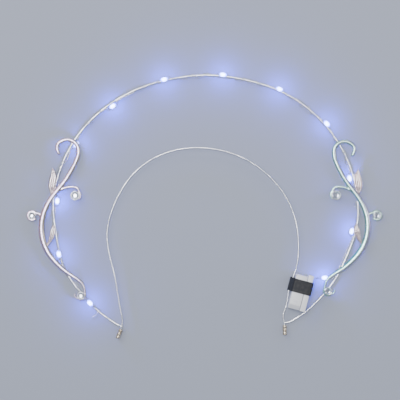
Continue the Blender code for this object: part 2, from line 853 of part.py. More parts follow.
def make_tape(battery, spot, band):
    """Make the tape round the battery and the stretch of the hair band beside it."""
    low, up, across, face = battery
    top = CASE_Z + CASE_DEPTH
    start = CASE_LENGTH - TAPE_FROM_TOP - TAPE_WIDTH
    middle = low + up * (start + TAPE_WIDTH / 2)
    beside = band[np.argmin(np.linalg.norm(band - middle, axis=1))]
    wire_edge = float(np.dot(beside - low, across)) - BAND_WIRE / 2 - GAP
    inner = (
        (wire_edge, CASE_Z - GAP),
        (face + GAP, CASE_Z - GAP),
        (face + GAP, top + GAP),
        (-GAP, top + GAP),
        (wire_edge, BAND_Z + BAND_WIRE / 2 + GAP),
    )
    outer = grown(inner, TAPE_THICKNESS)
    sections = ((outer, start), (outer, start + TAPE_WIDTH), (inner, start + TAPE_WIDTH), (inner, start))
    rings = [[spot(x, along, height) for x, height in outline] for outline, along in sections]
    skin("tape_wrap", rings, "black_tape", ring_shaped=True)


def lead_drill(centre, across):
    """Make the round tool that drills the lead's hole."""
    radius = LIGHT_WIRE / 2 + GAP
    angles = [2 * pi * k / HOLE_SIDES for k in range(HOLE_SIDES)]
    outline = [(radius * cos(angle), radius * sin(angle)) for angle in angles]
    reaches = (-LEAD_DEPTH - GAP, GAP)
    centres = [centre + np.array((*(across * reach), 0.0)) for reach in reaches]
    rings = [placed_outline(point, across, outline) for point in centres]
    return skin("lead_hole", rings, "white_plastic")


def grown(outline, distance):
    """Offset a closed outline, given anticlockwise, outward by a distance."""
    points = [np.array(point) for point in outline]
    moved = []
    for i, point in enumerate(points):
        before = unit(point - points[i - 1])
        after = unit(points[(i + 1) % len(points)] - point)
        normal_before = np.array((before[1], -before[0]))
        normal_after = np.array((after[1], -after[0]))
        bisector = unit(normal_before + normal_after)
        moved.append(point + bisector * distance / np.dot(bisector, normal_after))
    return moved


def stacked_outline(margin):
    """Return the outline round the two wires in a sleeve, at a margin from the thicker one."""
    radius = HALO_WIRE / 2 + margin
    angles = np.linspace(0, pi, SLEEVE_SIDES + 1)
    lower = [(radius * cos(pi + a), HALO_Z + radius * sin(pi + a)) for a in angles]
    upper = [(radius * cos(a), BAND_Z + radius * sin(a)) for a in angles]
    return lower + upper


def make_sleeve(side):
    """Make a crimped sleeve, open at both ends."""
    mouth, inward = foot(side)
    outer = stacked_outline(GAP + SLEEVE_WALL)
    inner = stacked_outline(GAP)
    bottom, top = raised(np.array((mouth - inward * SLEEVE_LENGTH, mouth)), 0)
    sections = ((bottom, outer), (top, outer), (top, inner), (bottom, inner))
    rings = [placed_outline(centre, inward, outline) for centre, outline in sections]
    return skin("end_sleeve_" + side, rings, "sleeve_metal", ring_shaped=True)


def with_ends(path):
    """Return a wire's flat path with straight ends that reach nearly through both sleeves."""
    reach = SLEEVE_LENGTH - GAP
    left, left_up = foot("left")
    right, right_up = foot("right")
    return np.vstack(([left - left_up * reach], bend_points(path), [right - right_up * reach]))


def centre_all():
    """Hang every piece on an empty that puts the middle of the whole on the origin."""
    bpy.context.view_layer.update()
    graph = bpy.context.evaluated_depsgraph_get()
    pieces = [item for item in bpy.data.objects if item.type in {"MESH", "CURVE"}]
    corners = np.array([corner[:] for item in pieces for corner in item.evaluated_get(graph).bound_box])
    middle = (corners.min(axis=0) + corners.max(axis=0)) / 2
    holder = bpy.data.objects.new("headband", None)
    bpy.context.scene.collection.objects.link(holder)
    holder.location = (-middle[0], -middle[1], 0.0)
    for item in pieces:
        item.parent = holder


def main():
    clear_scene()
    halo = bent_wire(HALO_ROWS, HALO_WIDTH, HALO_HEIGHT)
    band = bent_wire(BAND_ROWS, BAND_WIDTH, BAND_HEIGHT)
    wire_curve("halo_wire", raised(with_ends(halo), HALO_Z), HALO_WIRE, 2, "plated_wire")
    wire_curve("hair_band", raised(with_ends(band), BAND_Z), BAND_WIRE, 2, "plated_wire")
    for side in ("left", "right"):
        make_sleeve(side)

    seats = {}
    for row, finish in zip(SCROLLS, ("lilac_silver", "mint_silver")):
        seats[row[0]], mirror, place = seat_on_halo(row, halo)
        make_scroll(row[0], mirror, place, finish)

    battery = seat_battery(band, halo)
    spot = battery_places(battery)
    make_case(spot)
    make_lid(battery, spot)
    make_tape(battery, spot, band)
    make_lights(halo, seats, battery)
    centre_all()


main()
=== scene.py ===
"""The looks of a light-up halo headband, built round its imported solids.

It is laid out as an add-on and run as a script: the settings hold the sizes and colours, each operator
makes one piece or one group of like pieces, and main calls them in order. Lengths are in metres.
"""

from math import ceil, cos, exp, pi, radians, sin

import bmesh
import bpy
import numpy as np
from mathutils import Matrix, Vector


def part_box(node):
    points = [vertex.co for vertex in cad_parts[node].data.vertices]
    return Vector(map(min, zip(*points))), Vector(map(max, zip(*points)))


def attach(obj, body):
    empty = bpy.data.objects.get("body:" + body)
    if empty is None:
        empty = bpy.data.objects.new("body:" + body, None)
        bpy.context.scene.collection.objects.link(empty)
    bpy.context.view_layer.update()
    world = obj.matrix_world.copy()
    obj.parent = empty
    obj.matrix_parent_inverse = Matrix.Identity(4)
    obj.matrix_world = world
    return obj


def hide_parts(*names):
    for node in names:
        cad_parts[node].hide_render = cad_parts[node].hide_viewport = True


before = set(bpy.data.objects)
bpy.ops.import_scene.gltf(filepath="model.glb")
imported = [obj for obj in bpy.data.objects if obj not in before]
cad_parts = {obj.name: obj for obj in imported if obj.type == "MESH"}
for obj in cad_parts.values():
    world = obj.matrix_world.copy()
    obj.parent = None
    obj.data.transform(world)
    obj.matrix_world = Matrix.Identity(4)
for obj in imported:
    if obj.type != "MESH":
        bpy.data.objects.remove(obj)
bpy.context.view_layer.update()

bl_info = {
    "name": "Halo Headband",
    "version": (1, 0, 0),
    "blender": (4, 5, 0),
    "location": "3D View > Sidebar > Headband",
    "description": "Makes the looks of a light-up halo headband round its packed solids",
    "category": "Add Mesh",
}

MM = 0.001
BODY = "root"
METAL = {"Metallic": 1.0}
UPWARD = (0.0, 0.0, 1.0)
SIDES = ("left", "right")
SCROLL_SLOTS = {"left": "scroll_lilac", "right": "scroll_mint"}

# What the frame says: wire diameters and the heights that the pieces lie at
HALO_LOW, HALO_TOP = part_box("halo_wire")
BAND_LOW, BAND_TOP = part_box("hair_band")
HALO_WIRE = HALO_TOP.z - HALO_LOW.z
BAND_WIRE = BAND_TOP.z - BAND_LOW.z
HALO_Z = (HALO_TOP.z + HALO_LOW.z) / 2
BAND_Z = (BAND_TOP.z + BAND_LOW.z) / 2
SCROLL_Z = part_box("scroll_right")[0].z
STONE_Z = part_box("stone_right_upper")[0].z
LIGHTS = tuple(f"led_{number:02d}" for number in range(1, 13))
WHERE = ("upper", "outer", "lower")
STONES = tuple(f"stone_{side}_{where}" for side in SIDES for where in WHERE)

# Spans of the two wires, between wire centres and from the mouths of the end sleeves, how far the wires
# leave the sleeves straight, and the clearance between pieces
HALO_WIDTH = 206.2 * MM
HALO_HEIGHT = 171.3 * MM
BAND_WIDTH = 130.2 * MM
BAND_HEIGHT = 121.9 * MM
FOOT_SPACING = 111.2 * MM
SLEEVE_LENGTH = 6.4 * MM
SLEEVE_RUNOUT = 0.8 * MM
GAP = 0.3 * MM

# Halo wire from the left foot to the right one
# across as a share of HALO_WIDTH, up as a share of HALO_HEIGHT
HALO_ROWS = (
    (-0.281, 0.011),
    (-0.294, 0.020),
    (-0.352, 0.073),
    (-0.414, 0.154),
    (-0.464, 0.257),
    (-0.483, 0.363),
    (-0.493, 0.477),
    (-0.467, 0.636),
    (-0.420, 0.747),
    (-0.311, 0.881),
    (-0.206, 0.950),
    (-0.105, 0.985),
    (-0.009, 1.000),
    (0.159, 0.977),
    (0.286, 0.919),
    (0.395, 0.815),
    (0.466, 0.692),
    (0.508, 0.530),
    (0.505, 0.383),
    (0.482, 0.304),
    (0.430, 0.179),
    (0.371, 0.096),
    (0.319, 0.044),
    (0.302, 0.032),
    (0.284, 0.021),
)

# Hair band wire from the left foot to the right one
# across as a share of BAND_WIDTH, up as a share of BAND_HEIGHT
BAND_ROWS = (
    (-0.429, 0.098),
    (-0.459, 0.283),
    (-0.499, 0.510),
    (-0.451, 0.710),
    (-0.353, 0.865),
    (-0.193, 0.972),
    (-0.014, 1.001),
    (0.186, 0.956),
    (0.372, 0.815),
    (0.465, 0.660),
    (0.500, 0.461),
    (0.486, 0.325),
    (0.448, 0.202),
    (0.434, 0.117),
    (0.420, 0.051),
)

# Mouths of the end sleeves
# side, across as a share of FOOT_SPACING, up as a share of HALO_HEIGHT, lean in degrees
FEET = (
    ("left", -0.500, -0.008, 21.0),
    ("right", 0.500, 0.008, -1.5),
)

# How finely curves are worked out: points on a spline, points for each knot of the string's, and the
# angles that are tried to fit a level rectangle round a solid
CURVE_POINTS = 3000
STRING_POINTS = 6
FIT_ANGLES = 1801

# How finely the wires, strands and sleeves are drawn
WIRE_STEP = 0.8 * MM
WIRE_SIDES = 20
STRAND_SIDES = 8
SLEEVE_RINGS = 33
SLEEVE_ARC = 13

# Angles in degrees from which an edge stays sharp
SLEEVE_SHARP = 40
LEAF_SHARP = 60
CASE_SHARP = 38
TAPE_SHARP = 50

# Dents of a sleeve's crimp and its turned-in mouths, as shares of its length, and the mouths' depth
DENT_PLACES = (0.32, 0.68)
DENT_REACH = 0.07
LIP_REACH = 0.04
LIP_DEPTH = 0.12 * MM

# Winding of the string from its cut end past the lights
# turns to the next light, shares of the stretch where they start and end, slack of its loops
WINDINGS = (
    (1, 0.10, 0.90, 0.1),
    (1, 0.20, 0.80, 0.3),
    (1, 0.15, 0.85, 0.4),
    (1, 0.25, 0.75, 0.8),
    (2, 0.10, 0.90, 0.7),
    (9, 0.43, 0.75, 0.1),
    (2, 0.15, 0.90, 0.8),
    (3, 0.10, 0.90, 0.8),
    (3, 0.05, 0.95, 1.0),
    (1, 0.10, 0.80, 0.9),
    (2, 0.10, 0.90, 1.1),
    (0, 0.20, 0.90, 0.4),
)

# String: its lengths before the first light and past the last wound one, the loose cut end, how finely
# it is drawn, its play over the wire, the least height of its middle, the stretch in which it rises to a
# light, and the angle round the wire that faces the middle of the halo
STRING_LEAD_IN = 7.5 * MM
STRING_RUN_ON = 34.1 * MM
STRING_TAIL = 4.5 * MM
STRING_STEP = 0.35 * MM
STRING_CLEARANCE = 0.05 * MM
LOWEST = 0.35 * MM
LIGHT_RISE = 1.6 * MM
INWARD = 180.0

# Hole in the battery lid that the string goes into: from the lid's upper end and its underside, how far
# the string runs straight before and behind its mouth, its radius and its depth
LEAD_BELOW_TOP = 1.8 * MM
LEAD_HEIGHT = 1.5 * MM
LEAD_BEFORE = 0.8 * MM
LEAD_BEHIND = 1.4 * MM
LEAD_BORE = 0.5 * MM
LEAD_DEPTH = 1.8 * MM

# Main stem of a scroll, from the tip of its hook to the lower stone
# outward and up from the seat as shares of the scroll's length, width as a share of the stem's
STEM_ROWS = (
    (-0.0324, 0.2487, 0.40),
    (-0.0180, 0.2690, 0.58),
    (-0.0168, 0.3141, 0.64),
    (-0.0473, 0.3387, 0.66),
    (-0.0745, 0.3452, 0.66),
    (-0.1095, 0.3368, 0.68),
    (-0.1380, 0.3077, 0.70),
    (-0.1451, 0.2623, 0.71),
    (-0.1321, 0.2131, 0.73),
    (-0.1010, 0.1470, 0.75),
    (-0.0641, 0.0848, 0.77),
    (0.0039, -0.0058, 0.84),
    (0.0557, -0.1049, 0.90),
    (0.0712, -0.1878, 0.98),
    (0.0550, -0.2986, 1.00),
    (0.0220, -0.3646, 1.00),
    (-0.0272, -0.4223, 0.93),
    (-0.0848, -0.4722, 0.80),
    (-0.1509, -0.5136, 0.62),
    (-0.1969, -0.5544, 0.46),
)

# Width past the lower end of the stem as a share of the stem's, and what is left of it at the hook's tip
STEM_TIP = 0.34
TURN_TAPER = 0.80

# Turns round the stones, from and to in degrees from outward towards up
UPPER_TURN = (150.0, 235.0)
LOWER_TURN = (165.0, 300.0)
OUTER_TURN = (140.0, -150.0)

# Free hook that the stem ends in, past the lower stone
# angle round the stone in degrees from outward towards up, distance in radii of the turn before it
HOOK_ROWS = (
    (335.0, 1.22),
    (362.0, 1.48),
    (378.0, 1.60),
)

# Curls of a scroll, each from the stem towards its stone
# outward and up from the seat as shares of the scroll's length
UPPER_CURL = (
    (0.0030, -0.0080),
    (-0.0200, 0.0190),
    (-0.0530, 0.0390),
    (-0.0890, 0.0500),
    (-0.1220, 0.0520),
    (-0.1470, 0.0430),
    (-0.1570, 0.0240),
)
OUTER_CURL = (
    (0.0700, -0.1660),
    (0.0755, -0.1440),
    (0.0874, -0.1211),
)

# Curls where they start and end, as shares of their full width and height, the least height of the stem
# as a share of its full one, how far the curls lie over the stem's back and how far off the cups
UPPER_TAPER = (1.25, 0.55)
OUTER_TAPER = (1.10, 0.80)
STEM_THIN = 0.35
CURL_LIFT = 0.1 * MM
HUG = 0.1 * MM

# Half-round bars that a scroll is made of: how finely they are drawn, how full their sides are as a
# power of an ellipse's, the least share, squared, that their ends close to, and the degrees from point
# to point of a turn
BAR_STEP = 0.4 * MM
BAR_SIDES = 14
BAR_FULLNESS = 0.6
BAR_CLOSING = 0.02
ARC_STEP = 15.0

# Softening of the welds once a casting is fused: its strength and its passes
WELD_SOFTNESS = 0.5
WELD_PASSES = 8

# Stone centres on a scroll, outward and up from the seat as shares of the scroll's length
STONE_PLACES = (
    (-0.1341, -0.0019),
    (0.1308, -0.1341),
    (-0.1878, -0.6218),
)

# Leaves of a scroll, from the stalk to the tip
# outward and up from the seat as shares of the scroll's length, width as a share of the leaf's
UPPER_LEAF = (
    (0.0100, 0.0000, 0.30),
    (0.0120, 0.0230, 0.55),
    (0.0135, 0.0520, 0.95),
    (0.0100, 0.0850, 1.00),
    (0.0060, 0.1200, 0.80),
    (0.0080, 0.1450, 0.45),
    (0.0117, 0.1684, 0.10),
)
LOWER_LEAF = (
    (0.0380, -0.3280, 0.26),
    (0.0230, -0.3000, 0.36),
    (0.0080, -0.2700, 0.66),
    (0.0000, -0.2370, 0.85),
    (-0.0040, -0.2120, 0.62),
    (0.0000, -0.1872, 0.10),
)

# How finely a leaf is drawn, its least width and thickness, and how far its back lies over the scroll's
LEAF_STEP = 0.22 * MM
LEAF_COLUMNS = 33
LEAF_LEAST = 0.3 * MM
LEAF_LIFT = 0.2 * MM

# Section of a leaf: its least height as a share of its full one, the height of its edge as a share of
# its ridge's, and how much its pleats flatten towards the edge
LEAF_LOW = 0.60
LEAF_EDGE = 0.55
PLEAT_FADE = 0.3

# Pleats of a leaf: how many there are, deepening over its first sixth and fading out over its last fifth
PLEATS = {"left": 3, "right": 4}
PLEAT_START = 6
PLEAT_END = 5

# Ragged edge of a leaf: its depth as a share of the width, its waves, and how close to the edge it stays
RAGGED_DEPTH = 0.07
RAGGED_WAVES = 14
RAGGED_POWER = 6

# Level of tarnish on the underside of a leaf
BACK_TARNISH = 0.5

# Cut of a stone, from its foiled back over the girdle to the table
# radius and height as shares of the diameter, turn in steps from corner to corner
STONE_CUT = (
    (0.30, 0.00, 0.0),
    (0.50, 0.21, 0.5),
    (0.50, 0.27, 0.5),
    (0.41, 0.385, 0.0),
    (0.27, 0.46, 0.5),
)
STONE_SIDES = 12

# How finely a cup and its rim are drawn round a stone
CUP_SIDES = 36
RIM_STEPS = 40

# Cup of a stone: its play round the stone, its height as a share of the stone, and the rounding of its
# foot (out from its side, up from the scroll's back) and lip (in from its side, down from its top)
SEAT_PLAY = 0.08 * MM
CUP_HEIGHT = 0.30
CUP_FOOT = ((-0.25 * MM, 0.15 * MM), (0.0, 0.45 * MM))
CUP_LIP = ((0.0, 0.30 * MM), (0.10 * MM, 0.08 * MM))

# Rolled rim of a cup: its roundness as a share of its radius, its height as a share of the stone
RIM_SIZE = 0.26
RIM_SIDES = 14
RIM_HEIGHT = 0.26

# Profile of a light's resin drop and how much of the chip's light each ring gives
# along as a share of half its length, radius as a share of its largest, glow from 0 to 1
DROP_ROWS = (
    (-1.10, 0.20, 0.10),
    (-0.98, 0.38, 0.20),
    (-0.84, 0.66, 0.42),
    (-0.62, 0.89, 0.70),
    (-0.32, 0.99, 0.92),
    (0.00, 1.00, 1.00),
    (0.32, 0.99, 0.92),
    (0.62, 0.89, 0.70),
    (0.84, 0.66, 0.42),
    (0.98, 0.38, 0.20),
    (1.10, 0.20, 0.10),
)
DROP_SIDES = 24

# How many points on each side of a leaf's spine its width is averaged over
SOFTENING = 6

# Heights on the halo between which the inner edge of a scroll turns to its painted streak, a painted
# reflection
PAINTED_STREAK_FROM = -18.0 * MM
PAINTED_STREAK_TO = -36.0 * MM

# Battery case: segments of its rounded edges, the lid's rounding as a share of the case's, sides of the
# hole in the lid
EDGE_SEGMENTS = 4
LID_ROUNDING = 0.4
HOLE_SIDES = 24

# Tape: the rounding of its corners and their points, its play over the hair band, how far it clears the
# case's edge on top, where it starts and ends as shares of one turn, and half a drawn layer's thickness
# as a share of the whole
TAPE_CORNER = 0.7 * MM
TAPE_CORNER_POINTS = 7
TAPE_PLAY = 0.3 * MM
TAPE_CLEAR = 0.4 * MM
TAPE_START = 0.36
TAPE_END = 0.55
TAPE_HALF = 0.46

# How far the turns of tape are skewed, how the skew changes from turn to turn, and the share that the
# near edge has of it
TAPE_SKEW = 0.22 * MM
SKEW_STEP = 2.1
SKEW_NEAR = 0.6

# Patches in the finish of the castings and leaves: slow drift of the colour, ripple and tarnish
DRIFT_PATCH = 14.0 * MM
RIPPLE_PATCH = 0.9 * MM
TARNISH_PATCH = 1.5 * MM

# Colours that have no setting, as sRGB hex values
DULLED_STRAND = "C9BFB6"
SHOWING_BRASS = "B9A78D"
HANDLED_PLASTIC = "E2E4EB"
CREASED_TAPE = "1B1F2B"
CLOUDED_PAPER = "AEB4C3"
CRYSTAL = "F4F7FF"
FOIL = "E8ECF4"
EPOXY = "DCE6FF"
# Painted light: the left scroll's crest colour is a painted highlight, the colour of its slopes facing plus
# X a painted shade
LEFT_CREST_PAINTED_HIGHLIGHT = "DFD2EC"
LEFT_SLOPE_PAINTED_SHADE = "CFC5AE"
RIGHT_BLUSH = "A9CFC6"
LEFT_LEAF = "F6F0F3"
LEFT_GROOVE = "C598A9"
RIGHT_LEAF = "FBEDEE"

# Floor: how far it reaches and how far it lies below the object
FLOOR_REACH = 4.2
FLOOR_Z = -0.1 * MM

# Lamps of the studio: which setting holds their power, place and size in metres
LAMPS = (
    ("top_box", "top_power", (-0.14, 0.14, 1.55), (0.50, 0.50)),
    ("key_box", "key_power", (-0.45, 0.40, 0.60), (0.40, 0.30)),
    ("right_strip", "rim_power", (0.60, 0.10, 0.30), (0.12, 0.70)),
    ("upper_strip", "rim_power", (0.05, 0.65, 0.30), (0.70, 0.12)),
)

# Camera above the object: where the photograph's middle lies and how wide its view is there
PHOTO_CENTRE = (-4.28 * MM, 3.73 * MM)
PHOTO_WIDTH = 272.0 * MM
CAMERA_LENS = 150.0
CAMERA_SENSOR = 36.0


def linear(code):
    """Turn an sRGB hex colour into linear numbers."""
    parts = [int(code[i : i + 2], 16) / 255 for i in (0, 2, 4)]
    return tuple(c / 12.92 if c <= 0.04045 else ((c + 0.055) / 1.055) ** 2.4 for c in parts)


def length_setting(name, description, size):
    """Return a setting for a length."""
    return bpy.props.FloatProperty(
        name=name, description=description, default=size, min=0.0, precision=5, unit="LENGTH"
    )


def colour_setting(name, description, code):
    """Return a setting for a colour, from its sRGB hex value."""
    return bpy.props.FloatVectorProperty(
        name=name, description=description, default=linear(code), min=0.0, max=1.0, subtype="COLOR"
    )


def strength_setting(name, description, strength):
    """Return a setting for a strength that has no unit."""
    return bpy.props.FloatProperty(name=name, description=description, default=strength, min=0.0)


def power_setting(name, description, power):
    """Return a setting for a lamp's power in watts."""
    return bpy.props.FloatProperty(
        name=name, description=description, default=power, min=0.0, precision=4, unit="POWER"
    )


def count_setting(name, description, count):
    """Return a setting for how many of something there are."""
    return bpy.props.IntProperty(name=name, description=description, default=count, min=1, max=6)


class WireSettings(bpy.types.PropertyGroup):
    """Sizes and colours of the halo wire, the hair band and their end sleeves."""

    halo_wire: length_setting("Halo wire", "Diameter of the wire that makes the halo", HALO_WIRE)
    hair_band: length_setting("Hair band", "Diameter of the wire that sits on the head", BAND_WIRE)
    sleeve_wall: length_setting("Sleeve wall", "Wall of the crimped end sleeves", 0.3 * MM)
    crimp: length_setting("Crimp", "Depth of the two dents in each end sleeve", 0.16 * MM)
    silver: colour_setting("Silver", "Colour of the plated wires", "EEEFF4")
    tarnish: colour_setting("Tarnish", "Colour of the plating where it has dulled", "BFC4CF")
    champagne: colour_setting("Sleeves", "Colour of the plated sleeves", "EADCC6")


class StringSettings(bpy.types.PropertyGroup):
    """Sizes and colours of the string of lights."""

    strand: length_setting("Strand", "Diameter of each of the string's strands", 0.26 * MM)
    strands: count_setting("Strands", "How many strands lie side by side", 2)
    lay: length_setting("Lay", "Length of one full twist of the strands", 7.0 * MM)
    slack: length_setting("Slack", "How far the loosest loops stand off the halo wire", 1.4 * MM)
    strand_colour: colour_setting("Strands", "Colour of the silvered copper", "F4F4F8")
    drop_length: length_setting("Drop length", "Length of the resin drop round each light", 5.2 * MM)
    drop_width: length_setting("Drop width", "Width of the resin drop round each light", 3.2 * MM)
    core: colour_setting("Lit core", "Colour of a drop over its chip", "DDEBFF")
    rim: colour_setting("Lit ends", "Colour of a drop's ends", "3158FF")
    glow: strength_setting("Glow", "Strength of a drop's light over its chip", 7.0)
    rim_glow: strength_setting("Rim glow", "Strength of its light at the rim, as a share of that", 0.22)
    spill: power_setting("Spill", "Power of the light that each drop throws around it", 0.026)
    spill_height: length_setting("Spill height", "How far over a drop its thrown light starts", 5.5 * MM)
    spill_colour: colour_setting("Spill colour", "Colour of the light thrown around a drop", "2A45FF")


class ScrollSettings(bpy.types.PropertyGroup):
    """Sizes and colours of the cast scrolls and their stones."""

    stem_width: length_setting("Stem width", "Width of the main stem at its widest", 4.1 * MM)
    stem_height: length_setting("Stem height", "Height of the main stem at its widest", 2.1 * MM)
    curl_width: length_setting("Curl width", "Width of the curls that hold the stones", 1.9 * MM)
    curl_height: length_setting("Curl height", "Height of the curls", 1.1 * MM)
    leaf_width: length_setting("Leaf width", "Width of a leaf at its widest", 5.1 * MM)
    leaf_height: length_setting("Leaf height", "Height of a leaf at its widest", 1.5 * MM)
    pleat: length_setting("Pleat", "Depth of the pleats along a leaf", 0.32 * MM)
    cup_wall: length_setting("Cup wall", "Wall of the cups round the stones", 0.45 * MM)
    grain: length_setting("Grain", "Edge of the cells that the casting is fused from", 0.15 * MM)
    # Painted reflection: mint is painted on the right scroll's slopes that face minus X, over the plating's
    # own tint
    mint: colour_setting("Mint", "Plating on the slopes that face the middle of the halo", "A2D6D0")
    # Painted reflection and shade: lilac is painted on the right scroll's slopes that face plus X and as the
    # left scroll's painted streak; it is also the left scroll's blush at random
    lilac: colour_setting("Lilac", "Plating on the slopes that face outward", "CFC2E6")
    # Painted highlight: pale is painted on the right scroll's level crests
    pale: colour_setting("Pale", "Plating on the level crests", "CDEBE6")
    # Painted reflection: a streak painted low on the right scroll's slopes that face minus X
    aqua_painted_streak: colour_setting("Aqua", "Streak along the inner edge of the right scroll's lower bend", "56C8D0")
    # Painted reflection: pink is painted on the left scroll's slopes that face minus X, over the plating's
    # own tint
    pink: colour_setting("Pink", "Blush of the left scroll", "F4CBD8")
    bright: colour_setting("Bright", "Bright flash on the rims round the stones", "ECEFF2")
    groove: colour_setting("Groove", "Tarnish in the pleats of the right leaves", "7A514C")


class BatterySettings(bpy.types.PropertyGroup):
    """Sizes and colours of the battery case, its lid and the tape."""

    rounding: length_setting("Rounding", "Radius of the case's edges", 0.5 * MM)
    chamfer: length_setting("Chamfer", "Length and drop of the sloping end of the case", 3.0 * MM)
    tape_thickness: length_setting("Tape", "Thickness of the tape", 0.16 * MM)
    tape_turns: count_setting("Turns", "How many turns of tape there are", 3)
    plastic: colour_setting("Plastic", "Colour of the moulded case", "F8F9FD")
    tape: colour_setting("Tape", "Colour of the tape", "0D0F18")


class StageSettings(bpy.types.PropertyGroup):
    """Colours and light of the studio."""

    floor: colour_setting("Floor", "Colour of the floor", "A8AEBD")
    sky: colour_setting("Sky", "Colour of the room's even light", "DFE4F0")
    sky_power: strength_setting("Sky power", "Strength of the even light", 0.45)
    top_power: power_setting("Top power", "Power of the box overhead", 16.0)
    key_power: power_setting("Key power", "Power of the corner box", 1.5)
    rim_power: power_setting("Rim power", "Power of the side strips", 0.8)


def unit(vector):
    """Return a vector at length one."""
    return vector / np.linalg.norm(vector)


def lengths_along(path):
    """Return the distance from the start of a polyline to each of its points."""
    steps = np.linalg.norm(np.diff(path, axis=0), axis=1)
    return np.concatenate(([0.0], np.cumsum(steps)))


def smooth_curve(points, start=None, end=None, samples=CURVE_POINTS):
    """Return a fine polyline on the cubic spline through the points, with given end directions."""
    points = np.asarray(points, float)
    at = lengths_along(points)
    step = np.diff(at)
    last = len(points) - 1
    system = np.zeros((last + 1, last + 1))
    wanted = np.zeros_like(points)
    for i in range(1, last):
        before, after = step[i - 1], step[i]
        system[i, i - 1 : i + 2] = after, 2 * (before + after), before
        wanted[i] = 3 * after * (points[i] - points[i - 1]) / before
        wanted[i] += 3 * before * (points[i + 1] - points[i]) / after
    for row, inner, direction in ((0, 1, start), (last, last - 1, end)):
        if direction is None:
            system[row, row], system[row, inner] = 2, 1
            wanted[row] = 3 * (points[max(row, inner)] - points[min(row, inner)]) / step[min(row, inner)]
        else:
            system[row, row] = 1
            wanted[row] = unit(np.asarray(direction, float))
    slopes = np.linalg.solve(system, wanted)
    where = np.linspace(0, at[-1], samples)
    span = np.clip(np.searchsorted(at, where, side="right") - 1, 0, last - 1)
    t = ((where - at[span]) / step[span])[:, None]
    size = step[span][:, None]
    return (
        (1 + 2 * t) * (1 - t) ** 2 * points[span]
        + t * (1 - t) ** 2 * size * slopes[span]
        + t**2 * (3 - 2 * t) * points[span + 1]
        + t**2 * (t - 1) * size * slopes[span + 1]
    )


def points_at(path, distances):
    """Return the points of a polyline at distances along it."""
    at = lengths_along(path)
    return np.column_stack([np.interp(distances, at, column) for column in path.T])


def even_points(path, step):
    """Return points along a polyline, about one step apart."""
    total = lengths_along(path)[-1]
    return points_at(path, np.linspace(0, total, max(3, ceil(total / step) + 1)))


def raised(path, height):
    """Lift a flat polyline to a height."""
    return np.column_stack((path, np.full(len(path), height)))


def foot(side):
    """Return the middle of a sleeve's mouth and the direction from the sleeve into the wires."""
    _, across, up, lean = next(row for row in FEET if row[0] == side)
    mouth = np.array((across * FOOT_SPACING, up * HALO_HEIGHT))
    return mouth, np.array((sin(radians(lean)), cos(radians(lean))))


def bent_wire(rows, width, height):
    """Return the flat path of a wire from sleeve to sleeve, before it is moved onto the frame."""
    left, left_up = foot("left")
    right, right_up = foot("right")
    points = [np.array((x * width, y * height)) for x, y in rows]
    points.insert(0, left + left_up * SLEEVE_RUNOUT)
    points.append(right + right_up * SLEEVE_RUNOUT)
    reach = SLEEVE_LENGTH - GAP
    path = smooth_curve(points, left_up, -right_up)
    return np.vstack(([left - left_up * reach], path, [right - right_up * reach]))


def onto_frame(path, low, high, diameter):
    """Move a wire's flat path so that its box lies on the box of its solid."""
    across = (low.x + high.x) / 2 - (path[:, 0].min() + path[:, 0].max()) / 2
    up = high.y - diameter / 2 - path[:, 1].max()
    return path + np.array((across, up))


HALO_PATH = onto_frame(bent_wire(HALO_ROWS, HALO_WIDTH, HALO_HEIGHT), HALO_LOW, HALO_TOP, HALO_WIRE)
BAND_PATH = onto_frame(bent_wire(BAND_ROWS, BAND_WIDTH, BAND_HEIGHT), BAND_LOW, BAND_TOP, BAND_WIRE)


def box_centre(node):
    """Return the middle of a CAD node's box."""
    low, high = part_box(node)
    return np.array((low + high) / 2)


def level_frame(node):
    """Return the level rectangle that fits closest round a CAD node: corner, across, up and its size."""
    points = np.array([vertex.co[:2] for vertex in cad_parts[node].data.vertices])
    best = None
    for angle in np.linspace(-pi / 4, pi / 4, FIT_ANGLES):
        axes = np.array(((cos(angle), -sin(angle)), (sin(angle), cos(angle))))
        seen = points @ axes.T
        size = np.ptp(seen, axis=0)
        if best is None or size[0] * size[1] < best[0]:
            best = (size[0] * size[1], seen.min(axis=0) @ axes, axes[0], axes[1], size)
    return best[1:]


def feed(tree, node, values):
    """Give each named or numbered input of a node its value or its link."""
    for name, value in values.items():
        if isinstance(value, bpy.types.NodeSocket):
            tree.links.new(value, node.inputs[name])
        else:
            node.inputs[name].default_value = value


def add_node(tree, kind, values=None, **settings):
    """Add a node with its settings, and give its inputs their values and links."""
    node = tree.nodes.new(kind)
    for name, value in settings.items():
        setattr(node, name, value)
    feed(tree, node, values or {})
    return node


def start_tree(name, inputs):
    """Start a Geometry Nodes tree with named inputs and return it with its input and output nodes."""
    tree = bpy.data.node_groups.new(name, "GeometryNodeTree")
    tree.interface.new_socket("Geometry", in_out="INPUT", socket_type="NodeSocketGeometry")
    tree.interface.new_socket("Geometry", in_out="OUTPUT", socket_type="NodeSocketGeometry")
    finishes = (("Smooth", "Bool"), ("Material", "Material"), ("Backing", "Material"))
    for label, kind in (*inputs, *finishes):
        tree.interface.new_socket(label, in_out="INPUT", socket_type="NodeSocket" + kind)
    return tree, add_node(tree, "NodeGroupInput"), add_node(tree, "NodeGroupOutput")


